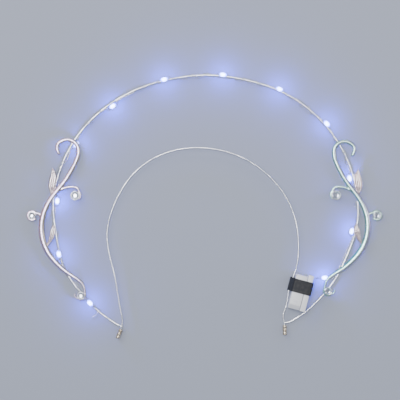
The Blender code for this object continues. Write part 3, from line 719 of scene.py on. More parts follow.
def end_tree(tree, given, result, geometry):
    """End a tree: its instances made real, shaded smooth or flat, and given their materials."""
    real = add_node(tree, "GeometryNodeRealizeInstances", {0: geometry})
    shading = {"Geometry": real.outputs[0], "Shade Smooth": given.outputs["Smooth"]}
    shaded = add_node(tree, "GeometryNodeSetShadeSmooth", shading)
    body = {"Geometry": shaded.outputs[0], "Material": given.outputs["Material"]}
    front = add_node(tree, "GeometryNodeSetMaterial", body)
    backed = add_node(tree, "GeometryNodeInputNamedAttribute", {"Name": "backed"}, data_type="BOOLEAN")
    back = {"Selection": backed.outputs["Attribute"], "Material": given.outputs["Backing"]}
    finish = add_node(tree, "GeometryNodeSetMaterial", {"Geometry": front.outputs[0], **back})
    feed(tree, result, {0: finish.outputs[0]})


def new_object(name, data):
    """Put an object into the scene with a mesh, a lamp or a camera as its data."""
    made = bpy.data.objects.new(name, data)
    bpy.context.scene.collection.objects.link(made)
    return made


def plain_mesh(name, source):
    """Turn an object with its modifiers into an object with a plain mesh, and remove the source."""
    graph = bpy.context.evaluated_depsgraph_get()
    graph.update()
    mesh = bpy.data.meshes.new_from_object(source.evaluated_get(graph), depsgraph=graph)
    bpy.data.objects.remove(source, do_unlink=True)
    mesh.name = name
    return new_object(name, mesh)


def run_tree(name, source, tree, material, values, backing=None, smooth=True):
    """Run a tree on an object with the values of its inputs and return the result as a plain mesh."""
    values = {**values, "Smooth": smooth, "Material": material, "Backing": backing or material}
    modifier = source.modifiers.new(tree.name, "NODES")
    modifier.node_group = tree
    for item in tree.interface.items_tree:
        if item.in_out == "INPUT" and item.name in values:
            modifier[item.identifier] = values[item.name]
    return plain_mesh(name, source)


def line_object(name, points):
    """Return a mesh of one open line of edges through the points."""
    mesh = bpy.data.meshes.new(name)
    mesh.from_pydata([tuple(point) for point in points], [(i, i + 1) for i in range(len(points) - 1)], [])
    return new_object(name, mesh)


def keep(piece, slot, *nodes):
    """Hang a finished piece on the body and hide the solids that it stands for; its slot is not used."""
    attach(piece, BODY)
    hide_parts(*nodes)


def skin(name, rings, closed=False):
    """Join equal rings of points into a closed body, capped at both ends or closed on itself."""
    count = len(rings[0])
    faces = []
    pairs = list(zip(range(len(rings) - 1), range(1, len(rings))))
    if closed:
        pairs.append((len(rings) - 1, 0))
    for lower, upper in pairs:
        for i in range(count):
            j = (i + 1) % count
            faces.append((lower * count + i, lower * count + j, upper * count + j, upper * count + i))
    if not closed:
        faces.append(tuple(range(count)))
        faces.append(tuple(range((len(rings) - 1) * count, len(rings) * count)))
    mesh = bpy.data.meshes.new(name)
    mesh.from_pydata([tuple(point) for ring in rings for point in ring], [], faces)
    outward_faces(mesh)
    return mesh


def outward_faces(mesh):
    """Turn the faces of a closed mesh outward."""
    shape = bmesh.new()
    shape.from_mesh(mesh)
    bmesh.ops.recalc_face_normals(shape, faces=shape.faces[:])
    shape.to_mesh(mesh)
    shape.free()


def joined(name, meshes):
    """Put the bodies of several meshes into one."""
    shape = bmesh.new()
    for mesh in meshes:
        shape.from_mesh(mesh)
    together = bpy.data.meshes.new(name)
    shape.to_mesh(together)
    shape.free()
    return together


def opaque(colour):
    """Return a colour with full cover."""
    return (*colour, 1.0)


def start_material(name):
    """Start a material and return it with its tree, its shader and the place on its piece."""
    material = bpy.data.materials.new(name)
    material.use_nodes = True
    tree = material.node_tree
    place = add_node(tree, "ShaderNodeTexCoord").outputs["Object"]
    return material, tree, tree.nodes["Principled BSDF"], place


def shifted_colour(tree, colour, steps):
    """Lay colours over each other, each where its pattern goes from one level to another.

    Each step is a pattern, the levels where its colour starts and is full, its share there, and it.
    """
    colour = opaque(colour)
    for pattern, low, high, most, shade in steps:
        ends = {"Value": pattern, "From Min": low, "From Max": high, "To Max": most}
        share = add_node(tree, "ShaderNodeMapRange", ends, interpolation_type="SMOOTHSTEP")
        shades = {0: share.outputs["Result"], 6: colour, 7: opaque(shade)}
        colour = add_node(tree, "ShaderNodeMix", shades, data_type="RGBA").outputs[2]
    return colour


def worn_finish(name, colours, patch, wear, rough, grain, shine):
    """Make a finish that shifts softly from one colour to another, with a fine grain.

    patch is how wide its patches are, wear the levels between which the second colour comes in and its
    share, rough the roughness of the two, and grain the width, strength and depth of the relief.
    """
    material, tree, shader, place = start_material(name)
    cloud = {"Vector": place, "Scale": 1 / patch, "Detail": 4.0}
    patches = add_node(tree, "ShaderNodeTexNoise", cloud).outputs["Fac"]
    colour = shifted_colour(tree, tuple(colours[0]), ((patches, *wear, tuple(colours[1])),))
    ends = {"Value": patches, "From Min": 0.3, "From Max": 0.7, "To Min": rough[0], "To Max": rough[1]}
    gloss = add_node(tree, "ShaderNodeMapRange", ends, interpolation_type="SMOOTHSTEP").outputs["Result"]
    width, strength, depth = grain
    relief = add_node(tree, "ShaderNodeTexNoise", {"Vector": place, "Scale": 1 / width}).outputs["Fac"]
    bump = add_node(tree, "ShaderNodeBump", {"Height": relief, "Strength": strength, "Distance": depth})
    feed(tree, shader, {"Base Color": colour, "Roughness": gloss, "Normal": bump.outputs["Normal"], **shine})
    return material


def plain_finish(name, colour, shine):
    """Make a finish that is the same all over."""
    material, tree, shader, _ = start_material(name)
    feed(tree, shader, {"Base Color": opaque(colour), **shine})
    return material


def silver_plated_wire():
    """Drawn steel wire, silver plated: bright, with soft dull patches and a fine drawn grain.

    The grain is drawn about three times as coarse as it is, so that it shows.
    """
    looks = bpy.context.scene.headband_wires
    return worn_finish(
        "silver_plated_steel_wire",
        (looks.silver, looks.tarnish),
        patch=5.0 * MM,
        wear=(0.48, 0.72, 1.0),
        rough=(0.16, 0.30),
        grain=(0.35 * MM, 0.25, 0.02 * MM),
        shine=METAL,
    )


def silvered_copper_strand():
    """Fine copper strand, silvered and lacquered: glossy, and whiter than the wire that it is wound on."""
    looks = bpy.context.scene.headband_string
    return worn_finish(
        "silvered_copper_strand",
        (looks.strand_colour, linear(DULLED_STRAND)),
        patch=2.5 * MM,
        wear=(0.50, 0.75, 0.6),
        rough=(0.20, 0.26),
        grain=(0.2 * MM, 0.15, 0.01 * MM),
        shine={**METAL, "Coat Weight": 0.3},
    )


def champagne_plated_sleeve():
    """Thin brass tube, plated pale champagne: satin, with darker patches where the brass shows through."""
    looks = bpy.context.scene.headband_wires
    return worn_finish(
        "champagne_plated_brass",
        (looks.champagne, linear(SHOWING_BRASS)),
        patch=1.6 * MM,
        wear=(0.40, 0.70, 1.0),
        rough=(0.22, 0.38),
        grain=(0.3 * MM, 0.3, 0.03 * MM),
        shine=METAL,
    )


def moulded_case_plastic():
    """Injection moulded white plastic: semi-gloss, with a faint spark-eroded grain and handling marks.

    The grain is drawn about four times as coarse as it is, so that it shows.
    """
    looks = bpy.context.scene.headband_battery
    return worn_finish(
        "moulded_white_abs",
        (looks.plastic, linear(HANDLED_PLASTIC)),
        patch=3.0 * MM,
        wear=(0.55, 0.80, 1.0),
        rough=(0.28, 0.42),
        grain=(0.25 * MM, 0.25, 0.02 * MM),
        shine={"IOR": 1.54},
    )


def calendered_tape():
    """Black vinyl tape: calendered to a fine pebble, with soft pale creases where it was pulled tight.

    The pebble is drawn about three times as coarse as it is, so that it shows.
    """
    looks = bpy.context.scene.headband_battery
    return worn_finish(
        "calendered_black_vinyl",
        (looks.tape, linear(CREASED_TAPE)),
        patch=2.2 * MM,
        wear=(0.50, 0.75, 1.0),
        rough=(0.50, 0.66),
        grain=(0.4 * MM, 0.5, 0.06 * MM),
        shine={"IOR": 1.53},
    )


def background_paper():
    """Rolled background paper: matt, with hardly any tooth."""
    looks = bpy.context.scene.headband_stage
    return worn_finish(
        "background_paper",
        (looks.floor, linear(CLOUDED_PAPER)),
        patch=60.0 * MM,
        wear=(0.30, 0.70, 0.05),
        rough=(0.85, 0.92),
        grain=(2.0 * MM, 0.05, 0.02 * MM),
        shine={"IOR": 1.3},
    )


def bright_flashed_rim():
    """Rolled rim with a bright flash: the cleanest, whitest metal on the piece."""
    looks = bpy.context.scene.headband_scrolls
    return plain_finish("bright_flashed_rim", looks.bright, {**METAL, "Roughness": 0.22})


def cut_crystal():
    """Cut lead crystal: clear and sharp-edged, with a foiled back that throws the light out again."""
    shine = {"Transmission Weight": 1.0, "Roughness": 0.0, "IOR": 1.56}
    return plain_finish("cut_lead_crystal", linear(CRYSTAL), shine)


def mirror_foil():
    """Silver foil pressed on the back of a stone: a cold, clean mirror."""
    return plain_finish("silver_mirror_foil", linear(FOIL), {**METAL, "Roughness": 0.08})


def lit_epoxy_drop():
    """Clear epoxy drop over a lit chip: white over the chip, blue down its sides and at its ends."""
    looks = bpy.context.scene.headband_string
    material, tree, shader, _ = start_material("lit_epoxy_drop")
    along = add_node(tree, "ShaderNodeAttribute", attribute_name="chip_light").outputs["Fac"]
    slope = add_node(tree, "ShaderNodeNewGeometry").outputs["Normal"]
    upward = add_node(tree, "ShaderNodeSeparateXYZ", {0: slope}).outputs["Z"]
    ends = {"Value": upward, "From Min": 0.05, "From Max": 0.95, "To Min": 0.15}
    facing = add_node(tree, "ShaderNodeMapRange", ends, interpolation_type="SMOOTHSTEP").outputs["Result"]
    share = add_node(tree, "ShaderNodeMath", {0: along, 1: facing}, operation="MULTIPLY").outputs[0]
    colour = shifted_colour(tree, tuple(looks.rim), ((share, 0.30, 0.85, 1.0, tuple(looks.core)),))
    ends = {"Value": share, "From Min": 0.1, "To Min": looks.rim_glow * looks.glow, "To Max": looks.glow}
    power = add_node(tree, "ShaderNodeMapRange", ends, interpolation_type="SMOOTHSTEP").outputs["Result"]
    shine = {"Base Color": opaque(linear(EPOXY)), "Roughness": 0.12, "IOR": 1.5}
    feed(tree, shader, {"Emission Color": colour, "Emission Strength": power, **shine})
    return material


def casting_colour_painted_by_slope(name, inner, painted_streak, crest, outer, blush):
    """Cast zinc, polished and vacuum plated, with light painted into its colour: painted reflection and
    shade on its slopes by which way they face, a painted highlight on its crests and a painted streak lower
    down on the slopes facing minus X; it also drifts along the piece at random.

    The ripple that polishing leaves is drawn coarser than it is, so that it shows.
    """
    material, tree, shader, place = start_material(name)
    slope = add_node(tree, "ShaderNodeNewGeometry").outputs["Normal"]
    across = add_node(tree, "ShaderNodeSeparateXYZ", {0: slope}).outputs["X"]
    up = add_node(tree, "ShaderNodeSeparateXYZ", {0: place}).outputs["Y"]
    cloud = {"Vector": place, "Scale": 1 / DRIFT_PATCH}
    drift = add_node(tree, "ShaderNodeTexNoise", cloud).outputs["Fac"]
    # Painted light: the painted streak goes by height, the painted reflection, shade and highlight by the
    # slope's facing; the last row is a drift at random
    steps = (
        (up, PAINTED_STREAK_FROM, PAINTED_STREAK_TO, 1.0, painted_streak),
        (across, -0.50, 0.05, 1.0, crest),
        (across, 0.05, 0.50, 1.0, outer),
        (drift, 0.45, 0.75, 0.65, blush),
    )
    cloud = {"Vector": place, "Scale": 1 / RIPPLE_PATCH, "Detail": 3.0}
    ripple = add_node(tree, "ShaderNodeTexNoise", cloud).outputs["Fac"]
    ends = {"Value": ripple, "From Min": 0.3, "From Max": 0.7, "To Min": 0.22, "To Max": 0.36}
    gloss = add_node(tree, "ShaderNodeMapRange", ends, interpolation_type="SMOOTHSTEP").outputs["Result"]
    bump = add_node(tree, "ShaderNodeBump", {"Height": ripple, "Strength": 0.2, "Distance": 0.04 * MM})
    looks = {"Base Color": shifted_colour(tree, inner, steps), "Roughness": gloss, **METAL}
    feed(tree, shader, {**looks, "Normal": bump.outputs["Normal"]})
    return material


def tarnished_leaf(name, crest, groove):
    """Cast zinc leaf, bright on its ridges where it was wiped, with tarnish left in its pleats."""
    material, tree, shader, place = start_material(name)
    depth = add_node(tree, "ShaderNodeAttribute", attribute_name="pleat_depth").outputs["Fac"]
    cloud = {"Vector": place, "Scale": 1 / TARNISH_PATCH}
    patches = add_node(tree, "ShaderNodeTexNoise", cloud).outputs["Fac"]
    deep = add_node(tree, "ShaderNodeMath", {0: depth, 1: patches}, operation="ADD").outputs[0]
    colour = shifted_colour(tree, crest, ((deep, 0.72, 1.25, 0.95, groove),))
    gloss = add_node(tree, "ShaderNodeMapRange", {"Value": depth, "To Min": 0.20, "To Max": 0.45})
    feed(tree, shader, {"Base Color": colour, "Roughness": gloss.outputs["Result"], **METAL})
    return material


def round_bar_tree():
    """Sweep a circle along a line of edges."""
    tree, given, result = start_tree("round_bar", (("Diameter", "Float"), ("Sides", "Int")))
    line = add_node(tree, "GeometryNodeMeshToCurve", {"Mesh": given.outputs["Geometry"]})
    radius = add_node(tree, "ShaderNodeMath", {0: given.outputs["Diameter"], 1: 0.5}, operation="MULTIPLY")
    ring = {"Resolution": given.outputs["Sides"], "Radius": radius.outputs[0]}
    circle = add_node(tree, "GeometryNodeCurvePrimitiveCircle", ring)
    sweep = {"Curve": line.outputs["Curve"], "Profile Curve": circle.outputs["Curve"], "Fill Caps": True}
    bar = add_node(tree, "GeometryNodeCurveToMesh", sweep)
    end_tree(tree, given, result, bar.outputs["Mesh"])
    return tree


def twisted_strands_tree():
    """Lay several strands round a line of edges, with one full twist in each lay."""
    inputs = (("Strand", "Float"), ("Strands", "Int"), ("Lay", "Float"), ("Sides", "Int"))
    tree, given, result = start_tree("twisted_strands", inputs)
    line = add_node(tree, "GeometryNodeMeshToCurve", {"Mesh": given.outputs["Geometry"]})
    side_by_side = {"Geometry": line.outputs["Curve"], "Amount": given.outputs["Strands"]}
    copies = add_node(tree, "GeometryNodeDuplicateElements", side_by_side, domain="SPLINE")
    along = add_node(tree, "GeometryNodeSplineParameter").outputs["Length"]
    turns = add_node(tree, "ShaderNodeMath", {0: along, 1: given.outputs["Lay"]}, operation="DIVIDE")
    spread = {0: copies.outputs["Duplicate Index"], 1: given.outputs["Strands"]}
    phase = add_node(tree, "ShaderNodeMath", spread, operation="DIVIDE")
    both = add_node(tree, "ShaderNodeMath", {0: turns.outputs[0], 1: phase.outputs[0]}, operation="ADD")
    angle = add_node(tree, "ShaderNodeMath", {0: both.outputs[0], 1: 2 * pi}, operation="MULTIPLY")
    normal = add_node(tree, "GeometryNodeInputNormal").outputs["Normal"]
    tangent = add_node(tree, "GeometryNodeInputTangent").outputs["Tangent"]
    twist = {"Vector": normal, "Axis": tangent, "Angle": angle.outputs[0]}
    turned = add_node(tree, "ShaderNodeVectorRotate", twist, rotation_type="AXIS_ANGLE").outputs[0]
    half = {0: given.outputs["Strand"], 1: 0.5}
    radius = add_node(tree, "ShaderNodeMath", half, operation="MULTIPLY").outputs[0]
    offset = add_node(tree, "ShaderNodeVectorMath", {0: turned, "Scale": radius}, operation="SCALE")
    apart = {"Geometry": copies.outputs["Geometry"], "Offset": offset.outputs[0]}
    moved = add_node(tree, "GeometryNodeSetPosition", apart)
    ring = {"Resolution": given.outputs["Sides"], "Radius": radius}
    circle = add_node(tree, "GeometryNodeCurvePrimitiveCircle", ring)
    sweep = {"Curve": moved.outputs["Geometry"], "Profile Curve": circle.outputs["Curve"], "Fill Caps": True}
    strands = add_node(tree, "GeometryNodeCurveToMesh", sweep)
    end_tree(tree, given, result, strands.outputs["Mesh"])
    return tree


def set_pieces_tree(name):
    """Set a copy of one shape on each point, turned along the point's axis and sized by its size."""
    tree, given, result = start_tree(name, (("Shape", "Object"),))
    model = {"Object": given.outputs["Shape"]}
    shape = add_node(tree, "GeometryNodeObjectInfo", model, transform_space="ORIGINAL")
    axis, size = (
        add_node(tree, "GeometryNodeInputNamedAttribute", {"Name": label}, data_type="FLOAT_VECTOR")
        for label in ("axis", "size")
    )
    facing = {"Vector": axis.outputs["Attribute"]}
    turn = add_node(tree, "FunctionNodeAlignRotationToVector", facing, axis="Z")
    points = add_node(tree, "GeometryNodeMeshToPoints", {"Mesh": given.outputs["Geometry"]})
    setting = {
        "Points": points.outputs["Points"],
        "Instance": shape.outputs["Geometry"],
        "Rotation": turn.outputs["Rotation"],
        "Scale": size.outputs["Attribute"],
    }
    copies = add_node(tree, "GeometryNodeInstanceOnPoints", setting)
    end_tree(tree, given, result, copies.outputs["Instances"])
    return tree


def set_pieces(name, mesh, rows, material, backing=None, smooth=True):
    """Set copies of a mesh at places, each along an axis and with a size, and return them as one piece."""
    model = new_object(mesh.name, mesh)
    points = bpy.data.meshes.new(name)
    points.from_pydata([tuple(place) for place, _, _ in rows], [], [])
    for label, column in (("axis", 1), ("size", 2)):
        layer = points.attributes.new(label, "FLOAT_VECTOR", "POINT")
        layer.data.foreach_set("vector", np.array([row[column] for row in rows], np.float32).ravel())
    tree = set_pieces_tree("set_" + name)
    piece = run_tree(name, new_object(name, points), tree, material, {"Shape": model}, backing, smooth)
    bpy.data.objects.remove(model, do_unlink=True)
    return piece


def circle(radius, height, sides, centre=(0.0, 0.0), turn=0.0):
    """Return the points of a level circle, turned by a share of the step from point to point."""
    angles = [(k + turn) * 2 * pi / sides for k in range(sides)]
    return [(centre[0] + radius * cos(a), centre[1] + radius * sin(a), height) for a in angles]


def finished(mesh, material, sharp, slot, *nodes):
    """Shade a mesh smooth but for its sharp edges, give it its material and keep it as a piece."""
    mesh.shade_smooth()
    mesh.set_sharp_from_angle(angle=radians(sharp))
    mesh.materials.append(material)
    keep(new_object(mesh.name, mesh), slot, *nodes)


class HEADBAND_OT_wires(bpy.types.Operator):
    """Make the halo wire and the hair band"""

    bl_idname = "headband.wires"
    bl_label = "Wires"

    def execute(self, context):
        sizes = context.scene.headband_wires
        tree = round_bar_tree()
        metal = silver_plated_wire()
        rows = (
            ("halo_wire_drawn", "halo_wire", HALO_PATH, HALO_Z, sizes.halo_wire),
            ("hair_band_drawn", "hair_band", BAND_PATH, BAND_Z, sizes.hair_band),
        )
        for name, node, path, height, diameter in rows:
            line = line_object(name, raised(even_points(path, WIRE_STEP), height))
            bar = run_tree(name, line, tree, metal, {"Diameter": diameter, "Sides": WIRE_SIDES})
            keep(bar, "wire_silver", node)
        return {"FINISHED"}


def sleeve_outline(radius):
    """Return the upright outline round the two wires in a sleeve."""
    angles = np.linspace(0, pi, SLEEVE_ARC)
    lower = [(radius * cos(pi + a), HALO_Z + radius * sin(pi + a)) for a in angles]
    upper = [(radius * cos(a), BAND_Z + radius * sin(a)) for a in angles]
    return lower + upper


class HEADBAND_OT_sleeves(bpy.types.Operator):
    """Make the crimped end sleeves"""

    bl_idname = "headband.sleeves"
    bl_label = "End sleeves"

    def execute(self, context):
        sizes = context.scene.headband_wires
        metal = champagne_plated_sleeve()
        for side in SIDES:
            corner, across, up, extent = level_frame("end_sleeve_" + side)
            foot_point = corner + across * extent[0] / 2
            outer = []
            inner = []
            for share in np.linspace(0, 1, SLEEVE_RINGS):
                dent = sizes.crimp * sum(exp(-(((share - at) / DENT_REACH) ** 2)) for at in DENT_PLACES)
                lip = LIP_DEPTH * max(0.0, 1 - min(share, 1 - share) / LIP_REACH)
                centre = np.array((*(foot_point + up * share * extent[1]), 0.0))
                for rings, radius in (
                    (outer, extent[0] / 2 - dent - lip),
                    (inner, extent[0] / 2 - sizes.sleeve_wall - dent + lip / 2),
                ):
                    outline = sleeve_outline(radius)
                    rings.append([centre + np.array((*(across * x), z)) for x, z in outline])
            mesh = skin("sleeve_crimped_" + side, outer + inner[::-1], closed=True)
            finished(mesh, metal, SLEEVE_SHARP, "sleeve_metal", "end_sleeve_" + side)
        return {"FINISHED"}


def halo_frame(distances):
    """Return the points of the halo wire at distances along it and the level outward directions there."""
    distances = np.asarray(distances)
    here = points_at(HALO_PATH, distances)
    ahead = points_at(HALO_PATH, distances + MM) - points_at(HALO_PATH, distances - MM)
    ahead /= np.linalg.norm(ahead, axis=1)[:, None]
    return here, np.column_stack((-ahead[:, 1], ahead[:, 0])), ahead


def beside_halo(distances, angles, radii):
    """Return points beside the halo wire, at angles of 0 outward and 90 up, in degrees."""
    here, outward, _ = halo_frame(distances)
    angles = np.radians(angles)
    flat = here + outward * (radii * np.cos(angles))[:, None]
    return np.column_stack((flat, np.maximum(HALO_Z + radii * np.sin(angles), LOWEST)))


def light_places():
    """Return each wound light's centre, its distance along the halo wire and its angle round it."""
    at = lengths_along(HALO_PATH)
    rows = []
    for node in LIGHTS[:-1]:
        centre = box_centre(node)
        nearest = int(np.argmin(np.linalg.norm(HALO_PATH - centre[:2], axis=1)))
        _, outward, _ = halo_frame([at[nearest]])
        sideways = float(np.dot(centre[:2] - HALO_PATH[nearest], outward[0]))
        angle = np.degrees(np.arctan2(centre[2] - HALO_Z, sideways)) % 360
        rows.append((centre, at[nearest], angle))
    return rows


def lead_mouth():
    """Return where the string goes into the battery lid and the direction out of it."""
    corner, across, up, extent = level_frame("battery_lid")
    low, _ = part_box("battery_lid")
    mouth = corner + across * extent[0] + up * (extent[1] - LEAD_BELOW_TOP)
    return np.array((*mouth, low.z + LEAD_HEIGHT)), np.array((*across, 0.0))


def string_route(sizes):
    """Return the middle line of the string: wound round the halo wire and led into the battery lid."""
    close = HALO_WIRE / 2 + sizes.strand + STRING_CLEARANCE
    lights = light_places()
    run = sizes.drop_length / 2
    beside = HALO_WIRE / 2 + GAP + sizes.drop_width / 2
    stops = [(lights[0][1] - STRING_LEAD_IN, 0.0)]
    stops += [(distance, angle) for _, distance, angle in lights]
    stops.append((lights[-1][1] + STRING_RUN_ON, INWARD))
    pieces = [beside_halo([stops[0][0]], [0.0], np.array([close + STRING_TAIL]))]
    rows = zip(WINDINGS, stops, stops[1:])
    for number, ((turns, begin, finish, slack), (start, angle), (light, next_angle)) in enumerate(rows):
        last = number == len(WINDINGS) - 1
        start = start + run + LIGHT_RISE if number else start
        stop = light if last else light - run - LIGHT_RISE
        swing = next_angle - angle + 360 * turns
        length = stop - start
        count = ceil((length + abs(radians(swing)) * close) / STRING_STEP)
        share = np.linspace(0, 1, count)
        wound = np.clip((share - begin) / (finish - begin), 0, 1)
        angles = angle + swing * wound
        loose = sizes.slack * slack * (0.5 - 0.5 * np.cos(np.radians(angles))) ** 2 * np.sin(pi * share)
        pieces.append(beside_halo(start + share * length, angles, close + loose))
        if not last:
            pieces.append(beside_halo([light - run, light + run], [next_angle] * 2, np.full(2, beside)))
    mouth, outward = lead_mouth()
    last_light = box_centre(LIGHTS[-1])
    axis = unit(np.array((*(mouth[:2] - last_light[:2]), 0.0)))
    pieces.append(np.array([last_light - axis * run, last_light + axis * run]))
    pieces.append(np.array([mouth + outward * LEAD_BEFORE, mouth - outward * LEAD_BEHIND]))
    knots = np.vstack(pieces)
    apart = np.concatenate(([True], np.linalg.norm(np.diff(knots, axis=0), axis=1) > STRING_CLEARANCE))
    knots = knots[apart]
    return even_points(smooth_curve(knots, samples=len(knots) * STRING_POINTS), STRING_STEP)


class HEADBAND_OT_string(bpy.types.Operator):
    """Make the twin strands of the light string, wound round the halo wire"""

    bl_idname = "headband.string"
    bl_label = "Light string"

    def execute(self, context):
        sizes = context.scene.headband_string
        values = {"Strand": sizes.strand, "Strands": sizes.strands, "Lay": sizes.lay}
        values["Sides"] = STRAND_SIDES
        line = line_object("string_strands", string_route(sizes))
        metal = silvered_copper_strand()
        strands = run_tree("string_strands", line, twisted_strands_tree(), metal, values)
        keep(strands, "string_silver", "light_wire")
        return {"FINISHED"}


class HEADBAND_OT_lights(bpy.types.Operator):
    """Make the lit resin drops and the light that they throw around them"""

    bl_idname = "headband.lights"
    bl_label = "Lights"

    def execute(self, context):
        sizes = context.scene.headband_string
        mesh = skin("resin_drop", [circle(r / 2, x / 2, DROP_SIDES) for x, r, _ in DROP_ROWS])
        layer = mesh.attributes.new("chip_light", "FLOAT", "POINT")
        layer.data.foreach_set("value", [light for _, _, light in DROP_ROWS for _ in range(DROP_SIDES)])

        rows = []
        size = (sizes.drop_width, sizes.drop_width, sizes.drop_length)
        for centre, distance, _ in light_places():
            _, _, ahead = halo_frame([distance])
            rows.append((centre, (*ahead[0], 0.0), size))
        mouth, _ = lead_mouth()
        centre = box_centre(LIGHTS[-1])
        rows.append((centre, (*unit(mouth[:2] - centre[:2]), 0.0), size))
        drops = set_pieces("resin_drops", mesh, rows, lit_epoxy_drop())
        # Its lamp hangs over it, so a drop throws no shadow
        drops.visible_shadow = False
        keep(drops, "light_drop", *LIGHTS)

        for node, (centre, _, _) in zip(LIGHTS, rows):
            lamp = bpy.data.lights.new(node + "_spill", "POINT")
            lamp.color = sizes.spill_colour
            lamp.energy = sizes.spill
            lamp.shadow_soft_size = sizes.drop_width / 2
            made = new_object(node + "_spill", lamp)
            made.location = (*centre[:2], centre[2] + sizes.spill_height)
            # Only the drop itself is mirrored in the metal, not its lamp
            made.visible_glossy = False
        return {"FINISHED"}


def scroll_place(side):
    """Return the map from shares of the scroll's length to level points, worked out from its stones."""
    shares = np.array([(x, y, 1.0) for x, y in STONE_PLACES])
    centres = np.array([box_centre(f"stone_{side}_{where}")[:2] for where in WHERE])
    turn = np.linalg.solve(shares, centres)

    def place(x, y):
        return np.array((x, y, 1.0)) @ turn

    return place


def arc_round(centre, radius, turn, mirror):
    """Return points round a stone, angles in degrees from outward towards up."""
    start, end = turn
    count = max(1, ceil(abs(end - start) / ARC_STEP))
    angles = [radians(start + (end - start) * k / count) for k in range(count + 1)]
    return [centre + radius * np.array((mirror * cos(a), sin(a))) for a in angles]


def half_round(width, height):
    """Return the outline of a half-round bar with a flat back and soft lower corners."""
    angles = [pi * k / BAR_SIDES for k in range(1, BAR_SIDES)]
    arc = [(cos(angle) * width / 2, sin(angle) ** BAR_FULLNESS * height) for angle in angles]
    return [(-width / 2, 0.0), (width / 2, 0.0)] + arc


def bar_rings(path, outlines):
    """Place one upright outline across each point of a level path."""
    headings = np.gradient(path[:, :2], axis=0)
    rings = []
    for centre, heading, outline in zip(path, headings, outlines):
        heading = unit(heading)
        side = np.array((-heading[1], heading[0], 0.0))
        rings.append([centre + side * x + np.array((0.0, 0.0, z)) for x, z in outline])
    return rings


def rounded_bar(name, route, widths, heights, lift):
    """Make a half-round bar along a route of level points, rounded off at both ends."""
    knots = lengths_along(np.array(route))
    path = even_points(smooth_curve(route), BAR_STEP)
    where = np.linspace(0, knots[-1], len(path))
    at = lengths_along(path)
    width = np.interp(where, knots, widths)
    height = np.interp(where, knots, heights)
    ends = np.minimum(at, at[-1] - at)
    closing = 1 - (1 - np.clip(ends / (width / 2), 0, 1)) ** 2
    closing = np.sqrt(np.clip(closing, BAR_CLOSING, 1))
    outlines = [half_round(w * c, h * c) for w, h, c in zip(width, height, closing)]
    return skin(name, bar_rings(raised(path, SCROLL_Z + lift), outlines))


def cup_radius(stone, wall):
    """Return the outer radius of the cup round a stone."""
    return stone / 2 + GAP + wall


def stone_cup(name, centre, stone, wall):
    """Make the cup that a stone sits in, with a rolled rim."""
    outer = cup_radius(stone, wall)
    inner = stone / 2 + SEAT_PLAY
    top = STONE_Z + CUP_HEIGHT * stone
    profile = [(outer + back, SCROLL_Z + rise) for back, rise in CUP_FOOT]
    profile += [(outer - back, top - drop) for back, drop in CUP_LIP]
    profile.append(((outer + inner) / 2, top))
    profile += [(inner + back, top - drop) for back, drop in reversed(CUP_LIP)]
    profile.append((inner, STONE_Z - GAP))
    return skin(name, [circle(radius, height, CUP_SIDES, centre) for radius, height in profile])


def leaf_mesh(name, rows, place, sizes, pleats):
    """Make a leaf with a raised ridge and pleats that fan out from its stalk."""
    knots = np.array([place(x, y) for x, y, _ in rows])
    spine = even_points(smooth_curve(knots), LEAF_STEP)
    where = np.linspace(0, lengths_along(knots)[-1], len(spine))
    width = np.interp(where, lengths_along(knots), [row[2] for row in rows]) * sizes.leaf_width
    window = np.hanning(2 * SOFTENING + 3)[1:-1]
    width = np.convolve(np.pad(width, SOFTENING, mode="edge"), window / window.sum(), mode="valid")
    across = np.linspace(1, -1, LEAF_COLUMNS)
    ridges = np.abs(np.cos(pleats * pi / 2 * across))
    outlines = []
    for number, half in enumerate(np.clip(width, LEAF_LEAST, None) / 2):
        along = number / (len(spine) - 1)
        waves = sin(RAGGED_WAVES * pi * along) * sin(pi * along)
        ragged = 1 + RAGGED_DEPTH * np.abs(across) ** RAGGED_POWER * waves
        rise = sizes.leaf_height * (LEAF_LOW + (1 - LEAF_LOW) * half / (sizes.leaf_width / 2))
        fold = sizes.pleat * min(1.0, PLEAT_START * along, PLEAT_END * (1 - along))
        crown = rise * (LEAF_EDGE + (1 - LEAF_EDGE) * (1 - across**2))
        tops = crown - fold + fold * ridges * (1 - PLEAT_FADE * across**2)
        outline = [(-half * ragged[-1], 0.0), (half * ragged[0], 0.0)]
        outline += list(zip(across * half * ragged, np.clip(tops, LEAF_LEAST, None)))
        outlines.append(outline)
    depths = [BACK_TARNISH, BACK_TARNISH, *(1 - ridges)] * len(spine)
    mesh = skin(name, bar_rings(raised(spine, SCROLL_Z + LEAF_LIFT), outlines))
    layer = mesh.attributes.new("pleat_depth", "FLOAT", "POINT")
    layer.data.foreach_set("value", np.array(depths, np.float32))
    return mesh


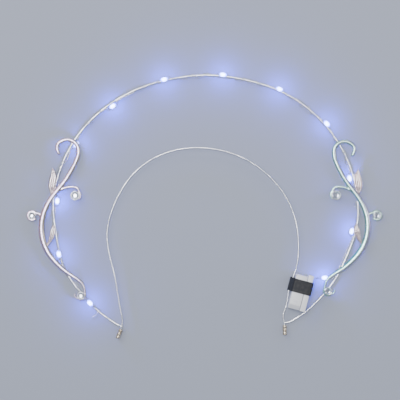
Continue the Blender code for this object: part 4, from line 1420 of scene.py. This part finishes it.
def scroll_parts(side, sizes):
    """Return the closed bodies that one scroll is cast from."""
    place = scroll_place(side)
    mirror = -1 if side == "left" else 1
    upper, outer, lower = (place(*row) for row in STONE_PLACES)
    stones = [np.ptp(np.array(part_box(f"stone_{side}_{where}")), axis=0)[0] for where in WHERE]

    def hugging(stone, width):
        return cup_radius(stone, sizes.cup_wall) - sizes.cup_wall + HUG + width / 2

    ring = hugging(stones[2], STEM_TIP * sizes.stem_width)
    route = [place(x, y) for x, y, _ in STEM_ROWS]
    turn_in = arc_round(lower, ring, LOWER_TURN, mirror)
    for angle, spread in HOOK_ROWS:
        turn_in.append(arc_round(lower, ring * spread, (angle, angle), mirror)[0])
    tip = np.linspace(STEM_TIP, STEM_TIP * TURN_TAPER, len(turn_in))
    shares = np.concatenate(([row[2] for row in STEM_ROWS], tip))
    heights = sizes.stem_height * (STEM_THIN + (1 - STEM_THIN) * shares)
    parts = [rounded_bar("stem", route + turn_in, shares * sizes.stem_width, heights, 0.0)]

    to_upper = [place(x, y) for x, y in UPPER_CURL]
    ring = hugging(stones[0], sizes.curl_width * sum(UPPER_TAPER) / 2)
    to_upper += arc_round(upper, ring, UPPER_TURN, mirror)
    to_outer = [place(x, y) for x, y in OUTER_CURL]
    ring = hugging(stones[1], sizes.curl_width * sum(OUTER_TAPER) / 2)
    to_outer += arc_round(outer, ring, OUTER_TURN, mirror)
    curls = (("upper_curl", to_upper, UPPER_TAPER), ("outer_curl", to_outer, OUTER_TAPER))
    for name, curl, taper in curls:
        shares = np.linspace(*taper, len(curl))
        widths, heights = shares * sizes.curl_width, shares * sizes.curl_height
        parts.append(rounded_bar(name, curl, widths, heights, CURL_LIFT))

    for centre, stone in zip((upper, outer, lower), stones):
        parts.append(stone_cup("cup", centre, stone, sizes.cup_wall))
    return parts


class HEADBAND_OT_scrolls(bpy.types.Operator):
    """Make the cast scrolls with their curls and the cups of their stones"""

    bl_idname = "headband.scrolls"
    bl_label = "Scrolls"

    def execute(self, context):
        sizes = context.scene.headband_scrolls
        mint, lilac, pale, pink, aqua_painted_streak = (
            tuple(colour) for colour in (sizes.mint, sizes.lilac, sizes.pale, sizes.pink, sizes.aqua_painted_streak)
        )
        # Each scroll's colours go on by slope: painted reflection, shade and highlight over the plating's
        # own tints
        left = ("lilac_plated_cast_zinc", pink, lilac, linear(LEFT_CREST_PAINTED_HIGHLIGHT), linear(LEFT_SLOPE_PAINTED_SHADE), lilac)
        right = ("mint_plated_cast_zinc", mint, aqua_painted_streak, pale, lilac, linear(RIGHT_BLUSH))
        metals = {"left": casting_colour_painted_by_slope(*left), "right": casting_colour_painted_by_slope(*right)}
        for side in SIDES:
            name = "scroll_cast_" + side
            source = new_object(name, joined(name, scroll_parts(side, sizes)))
            fused = source.modifiers.new("fused", "REMESH")
            fused.mode = "VOXEL"
            fused.voxel_size = sizes.grain
            fused.use_smooth_shade = True
            soft = source.modifiers.new("soft_welds", "SMOOTH")
            soft.factor = WELD_SOFTNESS
            soft.iterations = WELD_PASSES
            casting = plain_mesh(name, source)
            casting.data.materials.clear()
            casting.data.materials.append(metals[side])
            keep(casting, SCROLL_SLOTS[side], "scroll_" + side)
        return {"FINISHED"}


class HEADBAND_OT_leaves(bpy.types.Operator):
    """Make the pleated leaves of the scrolls"""

    bl_idname = "headband.leaves"
    bl_label = "Leaves"

    def execute(self, context):
        sizes = context.scene.headband_scrolls
        metals = {
            "left": tarnished_leaf("blush_plated_leaf", linear(LEFT_LEAF), linear(LEFT_GROOVE)),
            "right": tarnished_leaf("tarnished_leaf", linear(RIGHT_LEAF), tuple(sizes.groove)),
        }
        for side in SIDES:
            place = scroll_place(side)
            for name, rows in (("leaf_upper_", UPPER_LEAF), ("leaf_lower_", LOWER_LEAF)):
                mesh = leaf_mesh(name + side, rows, place, sizes, PLEATS[side])
                finished(mesh, metals[side], LEAF_SHARP, SCROLL_SLOTS[side], "scroll_" + side)
        return {"FINISHED"}


def seated_stones():
    """Return each stone's level centre, the height of its underside and its diameter."""
    boxes = [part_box(node) for node in STONES]
    return [(box_centre(node)[:2], low.z, high.x - low.x) for node, (low, high) in zip(STONES, boxes)]


class HEADBAND_OT_rims(bpy.types.Operator):
    """Make the rolled rims of the stones' cups"""

    bl_idname = "headband.rims"
    bl_label = "Rims"

    def execute(self, context):
        wall = context.scene.headband_scrolls.cup_wall
        section = circle(RIM_SIZE / 2, 0.0, RIM_SIDES)
        rings = [circle(1 + out, up, RIM_STEPS) for out, up, _ in section]
        mesh = skin("rolled_rim", rings, closed=True)
        rows = []
        for centre, low, stone in seated_stones():
            radius = cup_radius(stone, wall) - wall / 2
            rows.append(((*centre, low + RIM_HEIGHT * stone), UPWARD, (radius, radius, radius)))
        rims = set_pieces("stone_rims", mesh, rows, bright_flashed_rim())
        keep(rims, "wire_silver", "scroll_left", "scroll_right")
        return {"FINISHED"}


class HEADBAND_OT_stones(bpy.types.Operator):
    """Make the cut stones with their foiled backs"""

    bl_idname = "headband.stones"
    bl_label = "Stones"

    def execute(self, context):
        mesh = skin("cut_stone", [circle(r, z, STONE_SIDES, turn=turn) for r, z, turn in STONE_CUT])
        # The facets between two turned rings are triangles
        shape = bmesh.new()
        shape.from_mesh(mesh)
        bmesh.ops.triangulate(shape, faces=[face for face in shape.faces if len(face.verts) == 4])
        shape.to_mesh(mesh)
        shape.free()
        girdle = STONE_CUT[1][1]
        layer = mesh.attributes.new("backed", "BOOLEAN", "FACE")
        layer.data.foreach_set("value", [face.center.z < girdle for face in mesh.polygons])
        rows = [((*centre, low), UPWARD, (size, size, size)) for centre, low, size in seated_stones()]
        stones = set_pieces("cut_stones", mesh, rows, cut_crystal(), mirror_foil(), smooth=False)
        keep(stones, "clear_stone", *STONES)
        return {"FINISHED"}


def rounded(source, width, name):
    """Round the edges of a body and return it as a plain mesh, shaded smooth with crisp faces."""
    bevel = source.modifiers.new("rounded_edges", "BEVEL")
    bevel.width = width
    bevel.segments = EDGE_SEGMENTS
    bevel.limit_method = "ANGLE"
    made = plain_mesh(name, source)
    made.data.shade_smooth()
    made.data.set_sharp_from_angle(angle=radians(CASE_SHARP))
    return made


def extruded(name, node, outline):
    """Extrude an outline of length and height across the level frame of a battery node."""
    corner, across, up, extent = level_frame(node)
    low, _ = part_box(node)
    rings = []
    for sideways in (0.0, extent[0]):
        flat = corner + across * sideways
        rings.append([(*(flat + up * along), low.z + height) for along, height in outline])
    return new_object(name, skin(name, rings))


class HEADBAND_OT_battery(bpy.types.Operator):
    """Make the battery case and its lid"""

    bl_idname = "headband.battery"
    bl_label = "Battery case"

    def execute(self, context):
        sizes = context.scene.headband_battery
        plastic = moulded_case_plastic()
        low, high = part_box("battery_case")
        depth = high.z - low.z
        _, _, _, (_, length) = level_frame("battery_case")
        outline = ((0, 0), (length, 0), (length, depth), (sizes.chamfer, depth), (0, depth - sizes.chamfer))
        case = rounded(extruded("case_shell", "battery_case", outline), sizes.rounding, "case_shell")
        _, _, _, (_, length) = level_frame("battery_lid")
        outline = ((0, 0), (length, 0), (length, depth), (0, depth))
        lid = extruded("case_lid", "battery_lid", outline)
        mouth, outward = lead_mouth()
        angles = np.linspace(0, 2 * pi, HOLE_SIDES, endpoint=False)
        upward = np.array(UPWARD)
        side = np.cross(outward, upward)
        drill = [
            [mouth + outward * reach + LEAD_BORE * (side * cos(a) + upward * sin(a)) for a in angles]
            for reach in (-LEAD_DEPTH, LEAD_BORE)
        ]
        tool = new_object("lead_drill", skin("lead_drill", drill))
        cut = lid.modifiers.new("lead_hole", "BOOLEAN")
        cut.operation = "DIFFERENCE"
        cut.solver = "EXACT"
        cut.object = tool
        lid = plain_mesh("case_lid", lid)
        bpy.data.objects.remove(tool, do_unlink=True)
        lid = rounded(lid, LID_ROUNDING * sizes.rounding, "case_lid")
        for piece, node in ((case, "battery_case"), (lid, "battery_lid")):
            piece.data.materials.clear()
            piece.data.materials.append(plastic)
            keep(piece, "white_plastic", node)
        return {"FINISHED"}


def tape_corners(inset):
    """Return the corners of the tape's way round the battery and the hair band, sideways and height."""
    corner, across, _, extent = level_frame("tape_wrap")
    case_corner, _, _, _ = level_frame("battery_case")
    low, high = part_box("tape_wrap")
    case_edge = float(np.dot(case_corner - corner, across))
    left, right = inset, extent[0] - inset
    bottom, top = low.z + inset, high.z - inset
    shoulder = BAND_Z + BAND_WIRE / 2 + GAP + TAPE_PLAY
    return [(left, bottom), (right, bottom), (right, top), (case_edge - TAPE_CLEAR, top), (left, shoulder)]


def rounded_loop(corners, radius):
    """Return points round a closed outline of corners, each rounded to a radius."""
    points = []
    corners = [np.array(corner) for corner in corners]
    for number, corner in enumerate(corners):
        before = unit(corners[number - 1] - corner)
        after = unit(corners[(number + 1) % len(corners)] - corner)
        for share in np.linspace(0, 1, TAPE_CORNER_POINTS):
            start = corner + before * radius
            end = corner + after * radius
            points.append((1 - share) ** 2 * start + 2 * share * (1 - share) * corner + share**2 * end)
    return np.array(points)


class HEADBAND_OT_tape(bpy.types.Operator):
    """Make the tape, wound round the battery case and the hair band"""

    bl_idname = "headband.tape"
    bl_label = "Tape"

    def execute(self, context):
        sizes = context.scene.headband_battery
        corner, across, up, extent = level_frame("tape_wrap")
        thickness = sizes.tape_thickness
        layers = []
        for layer in range(sizes.tape_turns):
            inset = thickness * (sizes.tape_turns - layer - 0.5)
            loop = rounded_loop(tape_corners(inset), TAPE_CORNER)
            skew = TAPE_SKEW * sin(SKEW_STEP * layer)
            layers.append(np.column_stack((loop, np.full(len(loop), skew))))
        turn = len(layers[0])
        path = np.vstack(layers)
        path = path[int(TAPE_START * turn) : len(path) - turn + int(TAPE_END * turn)]
        heading = np.gradient(path[:, :2], axis=0)
        heading /= np.linalg.norm(heading, axis=1)[:, None]
        normal = np.column_stack((heading[:, 1], -heading[:, 0]))
        half = thickness * TAPE_HALF
        rings = []
        for (x, z, skew), (nx, nz) in zip(path, normal):
            ring = []
            for along, out in ((0, -half), (extent[1], -half), (extent[1], half), (0, half)):
                flat = corner + across * (x + nx * out) + up * (along + skew * (1 if along else SKEW_NEAR))
                ring.append((*flat, z + nz * out))
            rings.append(ring)
        finished(skin("tape_layers", rings), calendered_tape(), TAPE_SHARP, "black_tape", "tape_wrap")
        return {"FINISHED"}


class HEADBAND_OT_stage(bpy.types.Operator):
    """Make the floor, the soft light and the camera"""

    bl_idname = "headband.stage"
    bl_label = "Stage"

    def execute(self, context):
        looks = context.scene.headband_stage
        mesh = bpy.data.meshes.new("floor")
        mesh.from_pydata(circle(FLOOR_REACH, FLOOR_Z, 4, turn=0.5), [], [(0, 1, 2, 3)])
        mesh.materials.append(background_paper())
        new_object("floor", mesh)

        world = bpy.data.worlds.new("room")
        context.scene.world = world
        world.use_nodes = True
        even = world.node_tree.nodes["Background"]
        even.inputs["Color"].default_value = opaque(looks.sky)
        even.inputs["Strength"].default_value = looks.sky_power

        for name, power, place, (width, height) in LAMPS:
            lamp = bpy.data.lights.new(name, "AREA")
            lamp.shape = "RECTANGLE"
            lamp.size = width
            lamp.size_y = height
            lamp.energy = getattr(looks, power)
            made = new_object(name, lamp)
            made.location = place
            made.rotation_euler = (-Vector(place)).to_track_quat("-Z", "Y").to_euler()

        camera = bpy.data.cameras.new("camera")
        camera.lens = CAMERA_LENS
        camera.sensor_width = CAMERA_SENSOR
        made = new_object("camera", camera)
        made.location = (*PHOTO_CENTRE, HALO_Z + PHOTO_WIDTH * CAMERA_LENS / CAMERA_SENSOR)
        context.scene.camera = made
        return {"FINISHED"}


PIECES = (
    HEADBAND_OT_wires,
    HEADBAND_OT_sleeves,
    HEADBAND_OT_string,
    HEADBAND_OT_lights,
    HEADBAND_OT_scrolls,
    HEADBAND_OT_leaves,
    HEADBAND_OT_rims,
    HEADBAND_OT_stones,
    HEADBAND_OT_battery,
    HEADBAND_OT_tape,
    HEADBAND_OT_stage,
)
SETTINGS = (
    ("headband_wires", WireSettings),
    ("headband_string", StringSettings),
    ("headband_scrolls", ScrollSettings),
    ("headband_battery", BatterySettings),
    ("headband_stage", StageSettings),
)


class HEADBAND_PT_panel(bpy.types.Panel):
    """List the pieces and the settings they are made from"""

    bl_idname = "HEADBAND_PT_panel"
    bl_label = "Halo Headband"
    bl_space_type = "VIEW_3D"
    bl_region_type = "UI"
    bl_category = "Headband"

    def draw(self, context):
        for piece in PIECES:
            self.layout.operator(piece.bl_idname)
        for name, group in SETTINGS:
            box = self.layout.box()
            for label in group.__annotations__:
                box.prop(getattr(context.scene, name), label)


def register():
    for name, group in SETTINGS:
        bpy.utils.register_class(group)
        setattr(bpy.types.Scene, name, bpy.props.PointerProperty(type=group))
    for piece in (*PIECES, HEADBAND_PT_panel):
        bpy.utils.register_class(piece)


def unregister():
    for piece in reversed((*PIECES, HEADBAND_PT_panel)):
        bpy.utils.unregister_class(piece)
    for name, group in reversed(SETTINGS):
        delattr(bpy.types.Scene, name)
        bpy.utils.unregister_class(group)


def main():
    register()
    for piece in PIECES:
        make = getattr(bpy.ops.headband, piece.bl_idname.split(".")[1])
        make()


if __name__ == "__main__":
    main()
